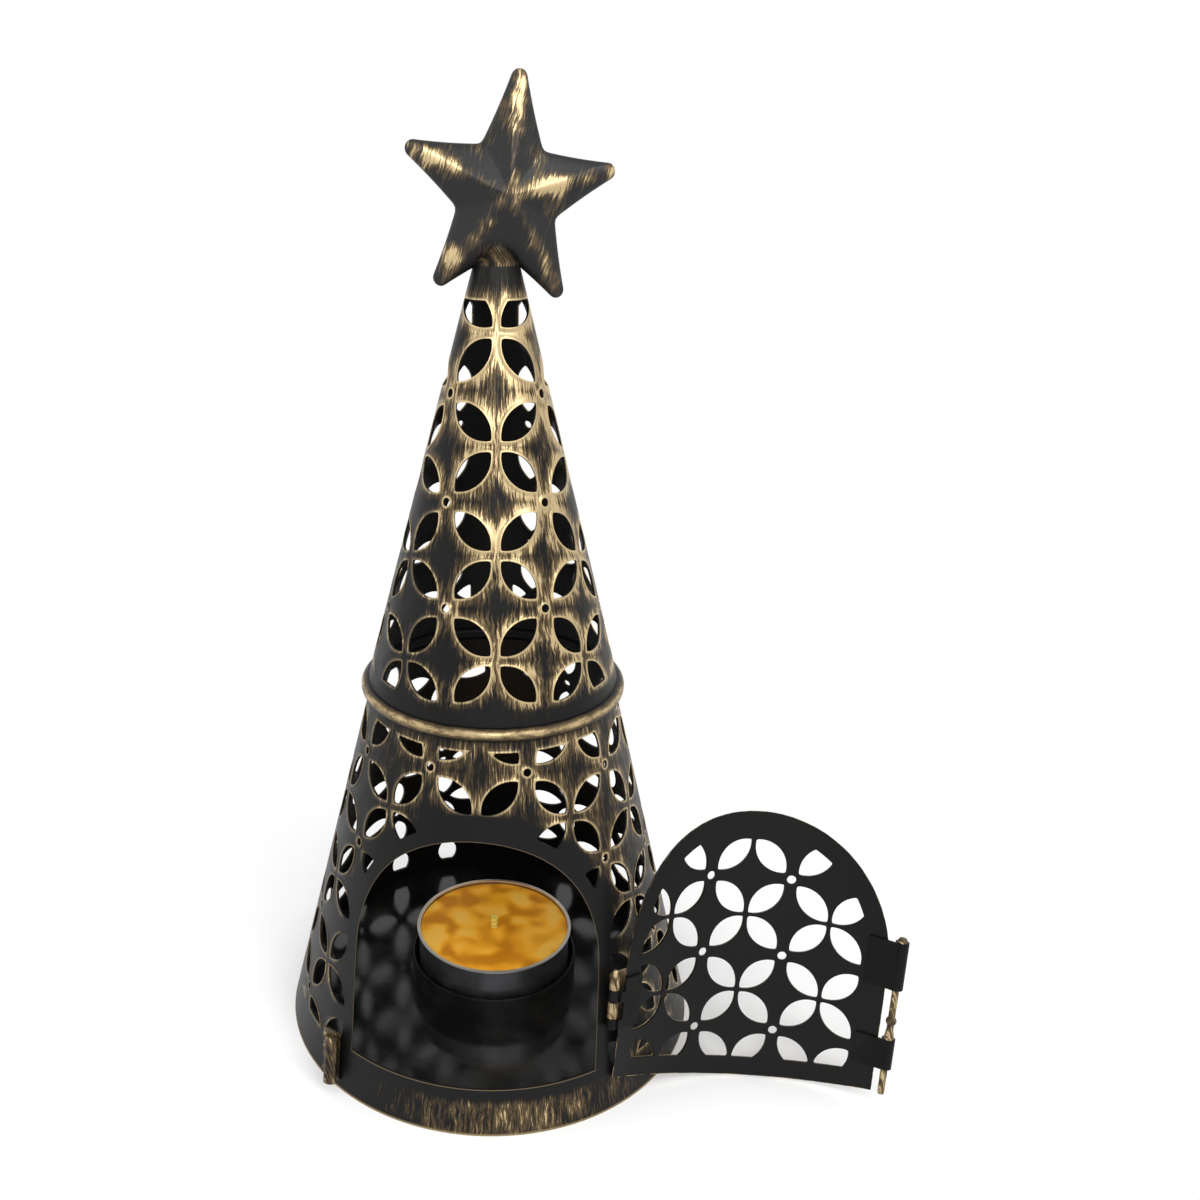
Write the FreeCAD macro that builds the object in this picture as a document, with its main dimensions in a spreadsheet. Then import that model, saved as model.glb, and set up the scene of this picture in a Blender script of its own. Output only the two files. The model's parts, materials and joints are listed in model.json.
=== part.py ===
import FreeCAD, Part
import math
import os
import Sketcher
from FreeCAD import Placement, Rotation, Vector

# Punched tin lantern in the shape of a tree: two rolled cones of punched sheet
# stand one on the other with a wire ring at the joint, a hollow star on top, a
# hinged arched door with a drop bolt in front, and a tealight in its ring inside.
# Millimetres. The origin is the middle of the base on the ground, +Z is up and
# the doorway faces -Y. The door is drawn shut and then swung to its open stop.

doc = FreeCAD.newDocument("punched_lantern")
sheet = doc.addObject("Spreadsheet::Sheet", "sizes")

SIZES = [
    # cones and ring
    ("gauge", 0.6, "thickness of the painted tin sheet"),
    ("base_radius", 49.45, "outer radius of the lower cone on the ground"),
    ("lower_top_radius", 26.7, "outer radius of the lower cone at the joint"),
    ("joint_height", 86.8, "height of the middle of the ring wire"),
    ("upper_base_radius", 27.7, "outer radius of the upper cone at the joint"),
    ("upper_top_radius", 4.4, "outer radius of the upper cone's mouth"),
    ("mouth_height", 171.4, "height of the upper cone's mouth"),
    ("ring_radius", 27.4, "radius of the ring, to the middle of its wire"),
    ("ring_wire", 1.5, "radius of the ring's wire"),
    ("lap_width", 5.0, "width of the lapped seam at the back"),
    ("weld_gap", 0.02, "gap that a weld or solder closes"),
    # punched pattern, measured on the flat sheet
    ("pitch", 20.3, "side of the lower cone's square grid of flowers"),
    ("petal_start", 1.45, "from a flower's middle to the near tip of a petal"),
    ("petal_end", 11.7, "from a flower's middle to the far tip of a petal"),
    ("petal_width", 5.2, "width of a petal"),
    ("dot_radius", 0.85, "radius of the dot between four flowers"),
    ("upper_pitch", 20.45, "side of the upper cone's square grid of flowers"),
    ("door_pitch", 18.0, "side of the door's square grid of flowers"),
    ("door_petal_start", 0.6, "near tip of a petal on the door"),
    ("door_petal_end", 10.85, "far tip of a petal on the door"),
    ("door_petal_width", 5.2, "width of a petal on the door"),
    ("door_dot_radius", 1.0, "radius of a dot on the door"),
    ("hole_rounding", 0.45, "rounding of every corner of a hole"),
    ("least_hole", 2.4, "side of the smallest clipped hole that is punched"),
    ("whole_share", 0.98, "share of a dot that has to be clear of the margins"),
    ("upper_pattern_turn", 7.0, "degrees that the upper pattern sits off the front"),
    ("upper_first_row", 11.5, "from the mouth down to the first row of flowers"),
    ("lower_first_row", 2.1, "first row of the lower flowers above the joint"),
    ("door_first_row", 6.65, "first row of the door's flowers above the middle of its arch"),
    ("mouth_margin", 5.9, "plain band under the mouth"),
    ("upper_foot_margin", 5.4, "plain band above the joint"),
    ("lower_head_margin", 2.6, "plain band under the joint"),
    ("base_margin", 9.6, "plain band above the ground"),
    ("seam_margin", 5.0, "plain band beside the seam"),
    ("doorway_margin", 3.2, "plain band round the doorway"),
    ("door_margin", 4.3, "plain band inside the door's edge"),
    # doorway and door, measured on the flat sheet unless a height
    ("doorway_half", 29.0, "half the width of the doorway and radius of its arch"),
    ("doorway_side", 26.8, "from the sill up to the middle of the doorway's arch"),
    ("sill_height", 10.6, "height of the doorway's sill"),
    ("lap_left", 2.5, "how far the shut door laps the doorway at its free edge"),
    ("lap_right", 1.1, "how far the shut door laps the doorway at its hinge edge"),
    ("lap_top", 4.7, "how far the shut door laps the doorway at its crown"),
    ("lap_foot", 2.26, "height that the shut door laps the sill"),
    ("door_gap", 0.8, "gap between the shut door and the cone"),
    ("door_swing", 188.7, "degrees from shut to the open stop"),
    # hinge
    ("hinge_beyond", 1.6, "hinge line beyond the door's edge"),
    ("hinge_height", 25.25, "height of the middle of the hinge"),
    ("hinge_rise", 1.95, "hinge line above the cone at its middle"),
    ("hinge_lean", 3.4, "degrees that the hinge line leans away from the sheet"),
    ("hinge_skew", 0.85, "degrees that the hinge line leans to the right on the sheet"),
    ("pin_radius", 0.55, "radius of the hinge pin"),
    ("pin_play", 0.05, "radial play of the pin in its knuckles"),
    ("knuckle_wall", 0.5, "wall of a knuckle"),
    ("knuckle_gap", 0.25, "gap between knuckles"),
    ("foot_knuckle", 2.3, "length of the lowest knuckle, on the door"),
    ("second_knuckle", 3.6, "length of the second knuckle, on the cone"),
    ("third_knuckle", 2.5, "length of the third knuckle, on the door"),
    ("head_knuckle", 2.7, "length of the top knuckle, on the cone"),
    ("pin_head", 1.7, "length of pin above the top knuckle"),
    ("pin_tail", 0.4, "length of pin below the lowest knuckle"),
    ("leaf_gap", 0.5, "gap from a knuckle to the straight edge of a leaf"),
    ("leaf_width", 5.0, "width of each hinge leaf"),
    # latch
    ("bolt_radius", 0.75, "radius of the drop bolt's wire"),
    ("bolt_play", 0.15, "radial play of the bolt in its sleeves"),
    ("sleeve_wall", 0.55, "wall of a sleeve"),
    ("bolt_rise", 1.85, "bolt line above the cone at its ends"),
    ("bolt_beyond", 1.9, "bolt line beyond the door's free edge"),
    ("bolt_head", 0.9, "bolt above its upper sleeve"),
    ("bolt_below_sill", 0.3, "bolt's tip below the sill"),
    ("sleeve_high_rise", 9.6, "upper end of the upper sleeve above the middle of the arch"),
    ("sleeve_high_length", 11.0, "length of the upper sleeve"),
    ("sleeve_low_rise", 13.4, "upper end of the lower sleeve above the sill"),
    ("sleeve_low_length", 7.1, "length of the lower sleeve"),
    ("sleeve_reach", 4.8, "how far a sleeve's plate runs over the door"),
    ("bolt_lift", 6.6, "how far the bolt lifts before its bead stops it"),
    ("bead_radius", 1.15, "radius of the bolt's stop bead"),
    ("catch_rise", 4.8, "upper end of the catch above the sill"),
    ("catch_length", 11.0, "length of the catch"),
    ("catch_play", 0.35, "radial play of the bolt in the catch"),
    ("catch_flange", 3.6, "width of the catch's flange"),
    ("catch_slot", 1.5, "height of the catch's open slot"),
    # floor and candle
    ("floor_height", 6.0, "height of the floor's upper face"),
    ("floor_rim", 4.2, "depth of the floor's turned-down rim"),
    ("ring_inside", 19.8, "inner radius of the candle ring"),
    ("ring_depth", 7.0, "height of the candle ring"),
    ("candle_shift_x", 0.9, "candle's middle to the right of the lantern's"),
    ("candle_shift_y", 0.5, "candle's middle in front of the lantern's"),
    ("cup_radius", 19.0, "outer radius of the tealight's cup"),
    ("cup_height", 14.4, "height of the tealight's cup"),
    ("cup_wall", 0.3, "wall of the tealight's cup"),
    ("lip_width", 0.45, "how far the cup's lip turns out"),
    ("wax_drop", 0.9, "wax below the cup's lip"),
    ("wick_radius", 0.9, "radius of the wick"),
    ("wick_show", 2.9, "length of wick above the wax"),
    ("tab_radius", 6.5, "radius of the wick's tin tab"),
    ("tab_neck", 4.0, "height of the tab's neck round the wick"),
    ("fit_gap", 0.05, "gap between the candle's own pieces"),
    # plug and star
    ("plug_spigot", 3.0, "depth of the plug inside the mouth"),
    ("plug_rise", 4.2, "height of the plug above the mouth"),
    ("plug_shoulder", 2.6, "radius of the plug's shoulder"),
    ("plug_shoulder_rise", 2.5, "height of the plug's shoulder above the mouth"),
    ("plug_peak", 1.6, "radius of the plug's peak"),
    ("star_height", 183.1, "height of the star's middle"),
    ("star_shift", 1.9, "star's middle to the right of the lantern's"),
    ("star_tip", 20.1, "from the star's middle to the end of an arm"),
    ("star_valley", 9.55, "from the star's middle to a valley between arms"),
    ("star_half_depth", 4.8, "height of the star's middle above its seam"),
    ("star_edge", 0.8, "height of the star's rim above its seam"),
    ("star_arm_end", 1.5, "half the width of an arm's blunt end"),
    ("star_wall", 0.5, "thickness of the star's sheet"),
    ("star_crown_wall", 0.6, "thickness of the star's sheet at its middle"),
    ("star_tip_wall", 1.5, "solid end of the star's hollow arms"),
    ("star_roll", 5.6, "degrees that the star is turned clockwise"),
    ("star_turn", 12.0, "degrees that the star faces off the front"),
    ("rounding_share", 0.6, "rounding of a rod's ends as a share of its radius"),
    ("overrun", 2.0, "how far every cutter runs past what it cuts"),
    ("offset_tolerance", 0.002, "tolerance of the star's seat on its plug"),
]

FORMULAS = [
    ("lower_slope", "(base_radius - lower_top_radius) / joint_height"),
    ("lower_tip", "base_radius / lower_slope"),
    ("lower_cosine", "1 / sqrt(1 + lower_slope ^ 2)"),
    ("upper_slope", "(upper_base_radius - upper_top_radius) / (mouth_height - joint_height)"),
    ("upper_tip", "joint_height + upper_base_radius / upper_slope"),
    ("upper_cosine", "1 / sqrt(1 + upper_slope ^ 2)"),
    ("ring_reach", "ring_wire + weld_gap"),
    ("lower_inset", "ring_radius - (lower_tip - joint_height + ring_reach) * lower_slope"),
    ("lower_top", "joint_height - sqrt(ring_reach ^ 2 - lower_inset ^ 2)"),
    ("upper_inset", "ring_radius - (upper_tip - joint_height - ring_reach) * upper_slope"),
    ("upper_foot", "joint_height + sqrt(ring_reach ^ 2 - upper_inset ^ 2)"),
]

for row, (alias, value, note) in enumerate(SIZES, start=1):
    sheet.set("A%d" % row, alias)
    sheet.set("B%d" % row, str(value))
    sheet.set("C%d" % row, note)
    sheet.setAlias("B%d" % row, alias)
for row, (alias, formula) in enumerate(FORMULAS, start=len(SIZES) + 1):
    sheet.set("A%d" % row, alias)
    sheet.set("B%d" % row, "=" + formula)
    sheet.setAlias("B%d" % row, alias)
    doc.recompute()


def size(alias):
    """Value of one cell of the sheet, in millimetres or degrees."""
    return float(sheet.get(alias))


def value_of(expression):
    """Value of an expression over the sheet's aliases."""
    return float(sheet.evalExpression(expression))


def bind(item, **expressions):
    """Bind properties of a document object to expressions over the sheet."""
    for name, expression in expressions.items():
        item.setExpression(name, expression)
    return item


def feature(label, shape, placement=None):
    """Document object that holds a shape made with Part's own functions."""
    item = doc.addObject("Part::Feature", label)
    item.Label = label
    item.Shape = shape
    if placement is not None:
        item.Placement = placement
    return item


# Profiles and bodies

def origin_plane(body, role):
    """One of a body's own origin planes."""
    return next(item for item in body.Origin.OriginFeatures if item.Role == role)


def closed_profile(body, name, corners):
    """Sketch of a closed outline on the body's XZ plane.

    Each corner is a pair of expressions: distance from the axis and height.
    """
    sketch = body.newObject("Sketcher::SketchObject", name)
    sketch.AttachmentSupport = [(origin_plane(body, "XZ_Plane"), "")]
    sketch.MapMode = "FlatFace"
    points = [Vector(value_of(x), value_of(y), 0) for x, y in corners]
    for index, start in enumerate(points):
        sketch.addGeometry(Part.LineSegment(start, points[(index + 1) % len(points)]))
    for index, (x, y) in enumerate(corners):
        after = (index + 1) % len(corners)
        sketch.addConstraint(Sketcher.Constraint("Coincident", index, 2, after, 1))
        place_on_axis(sketch, "DistanceX", -2, index, x)
        place_on_axis(sketch, "DistanceY", -1, index, y)
    return sketch


def place_on_axis(sketch, kind, axis, corner, expression):
    """Hold one coordinate of a sketch corner at an expression's value."""
    distance = value_of(expression)
    if distance == 0:
        sketch.addConstraint(Sketcher.Constraint("PointOnObject", corner, 1, axis))
        return
    number = sketch.addConstraint(
        Sketcher.Constraint(kind, -1, 1, corner, 1, distance))
    sketch.setExpression("Constraints[%d]" % number, expression)


def turned_body(label, corners):
    """Body turned about the Z axis from a closed profile."""
    body = doc.addObject("PartDesign::Body", label)
    body.Label = label
    sketch = closed_profile(body, label + "_profile", corners)
    turned = body.newObject("PartDesign::Revolution", label + "_turned")
    turned.Profile = sketch
    turned.ReferenceAxis = (sketch, ["V_Axis"])
    turned.Angle = 360
    body.Tip = turned
    return body


# The rolled sheets

class RolledSheet:
    """A flat sheet rolled into a cone, with its tip above and its front at -Y.

    Places on it are given as on the flat sheet: `down` from the cone's tip
    along the front line and `across` to the right of that line. `lift` is the
    height above the outer face.
    """

    def __init__(self, name, low_height, high_height):
        self.name = name
        self.low_height = low_height
        self.high_height = high_height
        self.slope = size(name + "_slope")
        self.tip_height = size(name + "_tip")
        self.cosine = size(name + "_cosine")
        self.sine = self.slope * self.cosine

    def slant(self, height):
        """Distance from the tip down the sheet to a height."""
        return (self.tip_height - height) / self.cosine

    def radius(self, height, lift=0.0):
        """Radius of the face at a height, for a lift above the outer face."""
        return (self.tip_height - height) * self.slope + lift / self.cosine

    def frame(self, down, across, lift=0.0):
        """Placement whose X runs across, Y up the sheet and Z out of it."""
        slant = math.hypot(down, across)
        bearing = math.atan2(across, down)
        turn = bearing / self.sine
        outward = Vector(math.sin(turn), -math.cos(turn), 0)
        sideways = Vector(math.cos(turn), math.sin(turn), 0)
        normal = outward * self.cosine + Vector(0, 0, self.sine)
        downhill = outward * self.sine - Vector(0, 0, self.cosine)
        to_down = downhill * math.cos(bearing) - sideways * math.sin(bearing)
        to_across = downhill * math.sin(bearing) + sideways * math.cos(bearing)
        on_axis = Vector(0, 0, self.tip_height - slant * self.cosine)
        point = on_axis + outward * (slant * self.sine) + normal * lift
        return Placement(point, Rotation(to_across, to_down * -1, normal, "XYZ"))

    def point(self, down, across, lift=0.0):
        """Place in space of a place on the sheet."""
        return self.frame(down, across, lift).Base

    def solid(self, lift, low=None, high=None):
        """Solid cone under the face at a lift, between two heights."""
        low = self.low_height if low is None else low
        high = self.high_height if high is None else high
        cone = Part.makeCone(self.radius(low, lift), self.radius(high, lift), high - low)
        cone.translate(Vector(0, 0, low))
        return cone

    def skin(self, inner_lift, outer_lift, low=None, high=None):
        """Shell between two lifts, cut level at two heights."""
        return self.solid(outer_lift, low, high).cut(self.solid(inner_lift, low, high))


lower = RolledSheet("lower", 0, size("joint_height"))
upper = RolledSheet("upper", size("joint_height"), size("mouth_height"))


# Punched pattern, drawn flat with X across and Y up the sheet

def flat_face(edges):
    """Face on the flat sheet inside a loop of edges."""
    return Part.Face(Part.Wire(edges))


class Pattern:
    """Square grid of four-petal flowers with a dot between every four."""

    def __init__(self, pitch, start, end, width, dot_radius):
        self.pitch = pitch
        self.start = start
        self.end = end
        self.width = width
        self.dot_radius = dot_radius

    def petal(self, down, across, quarter):
        """Petal of the flower at a place, on one of the four diagonals."""
        angle = math.radians(45 + 90 * quarter)
        along = Vector(math.cos(angle), math.sin(angle), 0)
        aside = Vector(-math.sin(angle), math.cos(angle), 0) * (self.width / 2)
        middle = Vector(across, -down, 0)
        near = middle + along * self.start
        far = middle + along * self.end
        waist = (near + far) * 0.5
        left = Part.Arc(near, waist + aside, far).toShape()
        right = Part.Arc(far, waist - aside, near).toShape()
        return flat_face([left, right])

    def dot(self, down, across):
        """Round dot at a place."""
        circle = Part.Circle(Vector(across, -down, 0), Vector(0, 0, 1), self.dot_radius)
        return flat_face([circle.toShape()])


def cone_pattern(pitch):
    """Pattern of a cone, with a pitch of its own."""
    return Pattern(
        pitch, size("petal_start"), size("petal_end"), size("petal_width"), size("dot_radius"))


def sector(near, far, half_angle, margin):
    """Flat rolled-out sheet between two slants, less a band at both seam edges."""
    def corner(slant, side):
        aside = side * (half_angle - math.asin(margin / slant))
        return Vector(slant * math.sin(aside), -slant * math.cos(aside), 0)

    def middle(slant):
        return Vector(0, -slant, 0)

    near_left, near_right = corner(near, -1), corner(near, 1)
    far_left, far_right = corner(far, -1), corner(far, 1)
    return flat_face([
        Part.Arc(near_left, middle(near), near_right).toShape(),
        Part.LineSegment(near_right, far_right).toShape(),
        Part.Arc(far_right, middle(far), far_left).toShape(),
        Part.LineSegment(far_left, near_left).toShape(),
    ])


def flat_arch(centre_down, centre_across, radius, foot_down):
    """Arched panel on the flat sheet: a half circle over two straight sides."""
    left = centre_across - radius
    right = centre_across + radius
    foot_left = Vector(left, -foot_down, 0)
    foot_right = Vector(right, -foot_down, 0)
    spring_left = Vector(left, -centre_down, 0)
    spring_right = Vector(right, -centre_down, 0)
    crown = Vector(centre_across, radius - centre_down, 0)
    return flat_face([
        Part.LineSegment(foot_left, foot_right).toShape(),
        Part.LineSegment(foot_right, spring_right).toShape(),
        Part.Arc(spring_right, crown, spring_left).toShape(),
        Part.LineSegment(spring_left, foot_left).toShape(),
    ])


def punches(roll, pattern, first_down, first_across, allowed):
    """Cutters for every petal and dot of the grid that lies in the allowed face."""
    pitch = pattern.pitch
    box = allowed.BoundBox
    rows = range(math.floor((-box.YMax - first_down) / pitch) - 1,
                 math.ceil((-box.YMin - first_down) / pitch) + 2)
    columns = range(math.floor((box.XMin - first_across) / pitch) - 1,
                    math.ceil((box.XMax - first_across) / pitch) + 2)
    cutters = []
    for row in rows:
        for column in columns:
            down = first_down + row * pitch
            across = first_across + column * pitch
            for quarter in range(4):
                cutters += petal_cutters(roll, pattern.petal(down, across, quarter), allowed)
            cutters += dot_cutters(
                roll, pattern.dot(down + pitch / 2, across + pitch / 2), allowed)
    return cutters


def petal_cutters(roll, petal, allowed):
    """Cutters for what a petal has inside the allowed face, with rounded corners."""
    if not petal.BoundBox.intersect(allowed.BoundBox):
        return []
    large = [face for face in petal.common(allowed).Faces if face.Area > size("least_hole") ** 2]
    return [cutter(roll, rounded(face)) for face in large]


def dot_cutters(roll, dot, allowed):
    """Cutter for a dot that lies inside the allowed face."""
    if not dot.BoundBox.intersect(allowed.BoundBox):
        return []
    if dot.common(allowed).Area < dot.Area * size("whole_share"):
        return []
    return [cutter(roll, dot)]


def rounded(face):
    """The face with its corners rounded, by stepping its edge in and out again."""
    smaller = face.makeOffset2D(-size("hole_rounding"))
    return smaller.makeOffset2D(size("hole_rounding"))


def cutter(roll, hole):
    """Prism of a flat hole, stood square on the rolled sheet."""
    depth = size("gauge") + size("overrun")
    middle = hole.CenterOfMass
    flat = hole.copy()
    flat.translate(Vector(-middle.x, -middle.y, -depth))
    prism = flat.extrude(Vector(0, 0, depth + size("overrun")))
    prism.Placement = roll.frame(-middle.y, middle.x).multiply(prism.Placement)
    return prism


# The doorway and the door share one outline, wrapped on the lower cone

ARCH_STEPS = 16
SIDE_STEPS = 4
FOOT_STEPS = 8

sill_down = lower.slant(size("sill_height"))
arch_down = sill_down - size("doorway_side")
door_left = size("doorway_half") + size("lap_left")
door_right = size("doorway_half") + size("lap_right")
door_half = (door_left + door_right) / 2
door_middle = (door_right - door_left) / 2
door_arch_down = arch_down - size("doorway_half") - size("lap_top") + door_half
door_foot = size("sill_height") - size("lap_foot")


def smooth_edge(points):
    """Smooth edge through points."""
    curve = Part.BSplineCurve()
    curve.interpolate(points)
    return curve.toShape()


def foot_line(height, across):
    """Place down the sheet of a line that is level when the sheet is rolled."""
    return math.sqrt(lower.slant(height) ** 2 - across ** 2)


def arch_prism(centre_down, centre_across, radius, foot_height, lift):
    """Prism along Y whose outline is the arch rolled onto the lower cone."""
    far_side = -(size("base_radius") + size("overrun"))

    def front_view(down, across):
        place = lower.point(down, across, lift)
        return Vector(place.x, far_side, place.z)

    def side(across):
        reach = foot_line(foot_height, across) - centre_down
        return smooth_edge([
            front_view(centre_down + reach * step / SIDE_STEPS, across)
            for step in range(SIDE_STEPS + 1)])

    def steps(count):
        return [-1 + 2 * step / count for step in range(count + 1)]

    arch = smooth_edge([
        front_view(centre_down - radius * math.cos(math.pi / 2 * turn),
                   centre_across + radius * math.sin(math.pi / 2 * turn))
        for turn in steps(ARCH_STEPS)])
    foot_places = [centre_across + radius * share for share in steps(FOOT_STEPS)]
    foot = smooth_edge([
        front_view(foot_line(foot_height, across), across) for across in foot_places])
    edges = [arch, side(centre_across + radius), foot, side(centre_across - radius)]
    outline = Part.Wire(Part.sortEdges(edges)[0])
    return Part.Face(outline).extrude(Vector(0, -far_side, 0))


# Lower cone

def cone_between(label, name, low, high, lift, past):
    """Solid cone under a rolled sheet's face at a lift, run past both heights."""
    cone = doc.addObject("Part::Cone", label)
    radius = "(sizes.%s_tip - (%%s)) * sizes.%s_slope + (%s) / sizes.%s_cosine" % (
        name, name, lift, name)
    bind(cone, Radius1=radius % ("%s - %s" % (low, past)),
         Radius2=radius % ("%s + %s" % (high, past)),
         Height="%s - %s + 2 * %s" % (high, low, past))
    cone.setExpression("Placement.Base.z", "%s - %s" % (low, past))
    return cone


def punched_cone(label, roll, low, high, cutters):
    """Punched cone from two tapered solids, with the seam's lap at the back.

    The heights are expressions over the sheet.
    """
    rolled = doc.addObject("Part::Cut", label + "_rolled")
    rolled.Base = cone_between(label + "_outer", roll.name, low, high, "0", "0")
    rolled.Tool = cone_between(
        label + "_inner", roll.name, low, high, "-sizes.gauge", "sizes.overrun")
    lap = feature(label + "_lap", seam_lap(roll, value_of(low), value_of(high)))
    joined = doc.addObject("Part::Fuse", label + "_joined")
    joined.Base = rolled
    joined.Tool = lap
    tools = feature(label + "_punches", Part.makeCompound(cutters))
    part = doc.addObject("Part::Cut", label)
    part.Label = label
    part.Base = joined
    part.Tool = tools
    return part


def seam_lap(roll, low, high):
    """Strip of the sheet's end that laps over its start at the back."""
    band = roll.skin(-size("gauge") / 2, size("gauge"), low, high)
    reach = roll.radius(low, size("gauge")) + size("overrun")
    strip = Part.makeBox(size("lap_width"), reach, high - low)
    strip.translate(Vector(-size("lap_width") / 2, 0, low))
    return band.common(strip)


def lower_cutters():
    """Doorway and pattern of the lower cone."""
    allowed = sector(
        lower.slant(size("lower_top")) + size("lower_head_margin"),
        lower.slant(0) - size("base_margin"),
        math.pi * lower.sine, size("seam_margin"))
    band = flat_arch(
        arch_down, 0, size("doorway_half") + size("doorway_margin"), lower.slant(0))
    first_row = lower.slant(size("joint_height")) - size("lower_first_row")
    doorway = arch_prism(arch_down, 0, size("doorway_half"), size("sill_height"), 0)
    pattern = cone_pattern(size("pitch"))
    return [doorway] + punches(lower, pattern, first_row, 0, allowed.cut(band))


lower_cone = punched_cone("lower_cone", lower, "0", "sizes.lower_top", lower_cutters())


# Ring at the joint

joint_ring = doc.addObject("Part::Torus", "joint_ring")
bind(joint_ring, Radius1="sizes.ring_radius", Radius2="sizes.ring_wire")
joint_ring.setExpression("Placement.Base.z", "sizes.joint_height")


# Upper cone

def upper_cutters():
    """Pattern of the upper cone, turned a little off the front."""
    allowed = sector(
        upper.slant(size("mouth_height")) + size("mouth_margin"),
        upper.slant(size("joint_height")) - size("upper_foot_margin"),
        math.pi * upper.sine, size("seam_margin"))
    first_row = upper.slant(size("mouth_height")) + size("upper_first_row")
    cutters = punches(upper, cone_pattern(size("upper_pitch")), first_row, 0, allowed)
    turn = size("upper_pattern_turn")
    return [tool.rotated(Vector(0, 0, 0), Vector(0, 0, 1), turn) for tool in cutters]


upper_cone = punched_cone(
    "upper_cone", upper, "sizes.upper_foot", "sizes.mouth_height", upper_cutters())


# Plug that closes the mouth and carries the star

def plug_corners():
    """Profile of the domed plug with its spigot in the mouth."""
    mouth = "(sizes.upper_top_radius - sizes.gauge - sizes.weld_gap * 2)"
    top = "(sizes.mouth_height + sizes.weld_gap)"
    lip = "(sizes.upper_top_radius - sizes.weld_gap)"
    return [
        ("0", top + " - sizes.plug_spigot"),
        (mouth, top + " - sizes.plug_spigot"),
        (mouth, top),
        (lip, top),
        (lip, top + " + sizes.gauge"),
        ("sizes.plug_shoulder", top + " + sizes.plug_shoulder_rise"),
        ("sizes.plug_peak", top + " + sizes.plug_rise"),
        ("0", top + " + sizes.plug_rise"),
    ]


top_plug = turned_body("top_plug", plug_corners())


# Star of two pressed halves

ARMS = 5


def star_ring(tip, valley, arm_end, height):
    """Corners of a star outline with blunt arm ends, at one height."""
    corners = []
    level = Vector(0, 0, height)
    for arm in range(ARMS):
        angle = math.pi / 2 - 2 * math.pi * arm / ARMS
        between = angle - math.pi / ARMS
        along = Vector(math.cos(angle), math.sin(angle), 0)
        aside = Vector(-math.sin(angle), math.cos(angle), 0)
        corners.append(along * (tip - arm_end / 2) + aside * arm_end + level)
        corners.append(along * tip + aside * (arm_end / 2) + level)
        corners.append(along * tip - aside * (arm_end / 2) + level)
        corners.append(along * (tip - arm_end / 2) - aside * arm_end + level)
        corners.append(Vector(math.cos(between), math.sin(between), 0) * valley + level)
    return corners


def polygon_face(corners):
    """Flat face with the given corners."""
    return Part.Face(Part.makePolygon(corners + [corners[0]]))


def star_solid(tip, valley, arm_end, edge, depth):
    """Pressed star over the plane Z = 0: an upright rim under a ridged top."""
    foot = star_ring(tip, valley, arm_end, 0)
    rim = star_ring(tip, valley, arm_end, edge)
    peak = Vector(0, 0, depth)
    faces = [polygon_face(foot)]
    for index in range(len(foot)):
        after = (index + 1) % len(foot)
        faces.append(polygon_face([foot[index], foot[after], rim[after], rim[index]]))
        faces.append(polygon_face([rim[index], rim[after], peak]))
    return Part.Solid(Part.Shell(faces))


def star_half(side):
    """One hollow half of the star, in front (1) or behind (-1) of its seam."""
    wall = size("star_wall")
    outside = star_solid(
        size("star_tip"), size("star_valley"), size("star_arm_end"),
        size("star_edge"), size("star_half_depth"))
    inside = star_solid(
        size("star_tip") - size("star_tip_wall"), size("star_valley") - wall,
        size("star_arm_end") - wall, size("star_edge") - wall,
        size("star_half_depth") - size("star_crown_wall"))
    half = outside.cut(inside)
    if side < 0:
        half = half.mirror(Vector(0, 0, 0), Vector(0, 0, 1))
    half.translate(Vector(0, 0, side * size("weld_gap") / 2))
    half.rotate(Vector(0, 0, 0), Vector(0, 0, 1), -size("star_roll"))
    half.rotate(Vector(0, 0, 0), Vector(1, 0, 0), 90)
    half.rotate(Vector(0, 0, 0), Vector(0, 0, 1), size("star_turn"))
    half.translate(Vector(size("star_shift"), 0, size("star_height")))
    seat = upper.solid(size("weld_gap") * 2, low=size("mouth_height") - size("star_tip"))
    plug = top_plug.Shape.makeOffsetShape(size("weld_gap"), size("offset_tolerance"))
    return half.cut(seat).cut(plug)


doc.recompute()
star_front = feature("star_front", star_half(1))
star_back = feature("star_back", star_half(-1))


# Floor with its turned-down rim

def floor_corners():
    """Profile of the floor: a disc and a rim that follows the cone's inside."""
    def inside(height):
        return ("((sizes.lower_tip - %s) * sizes.lower_slope"
                " - sizes.gauge / sizes.lower_cosine - 2 * sizes.weld_gap)" % height)

    top = "sizes.floor_height"
    foot = "(sizes.floor_height - sizes.floor_rim)"
    return [
        ("0", top + " - sizes.gauge"),
        (inside(top) + " - sizes.gauge", top + " - sizes.gauge"),
        (inside(foot) + " - sizes.gauge", foot),
        (inside(foot), foot),
        (inside(top), top),
        ("0", top),
    ]


floor_pan = turned_body("floor_pan", floor_corners())


# Ring that holds the tealight

candle_x = "sizes.candle_shift_x"
candle_y = "-sizes.candle_shift_y"


def stand_on_floor(item):
    """Stand an item drawn at the origin on the floor at the candle's place."""
    item.setExpression("Placement.Base.x", candle_x)
    item.setExpression("Placement.Base.y", candle_y)
    item.setExpression("Placement.Base.z", "sizes.floor_height")
    return item


candle_ring = stand_on_floor(turned_body("candle_ring", [
    ("sizes.ring_inside", "0"),
    ("sizes.ring_inside + sizes.gauge", "0"),
    ("sizes.ring_inside + sizes.gauge", "sizes.ring_depth"),
    ("sizes.ring_inside", "sizes.ring_depth"),
]))


# Tealight: cup, wax, wick and tab

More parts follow.
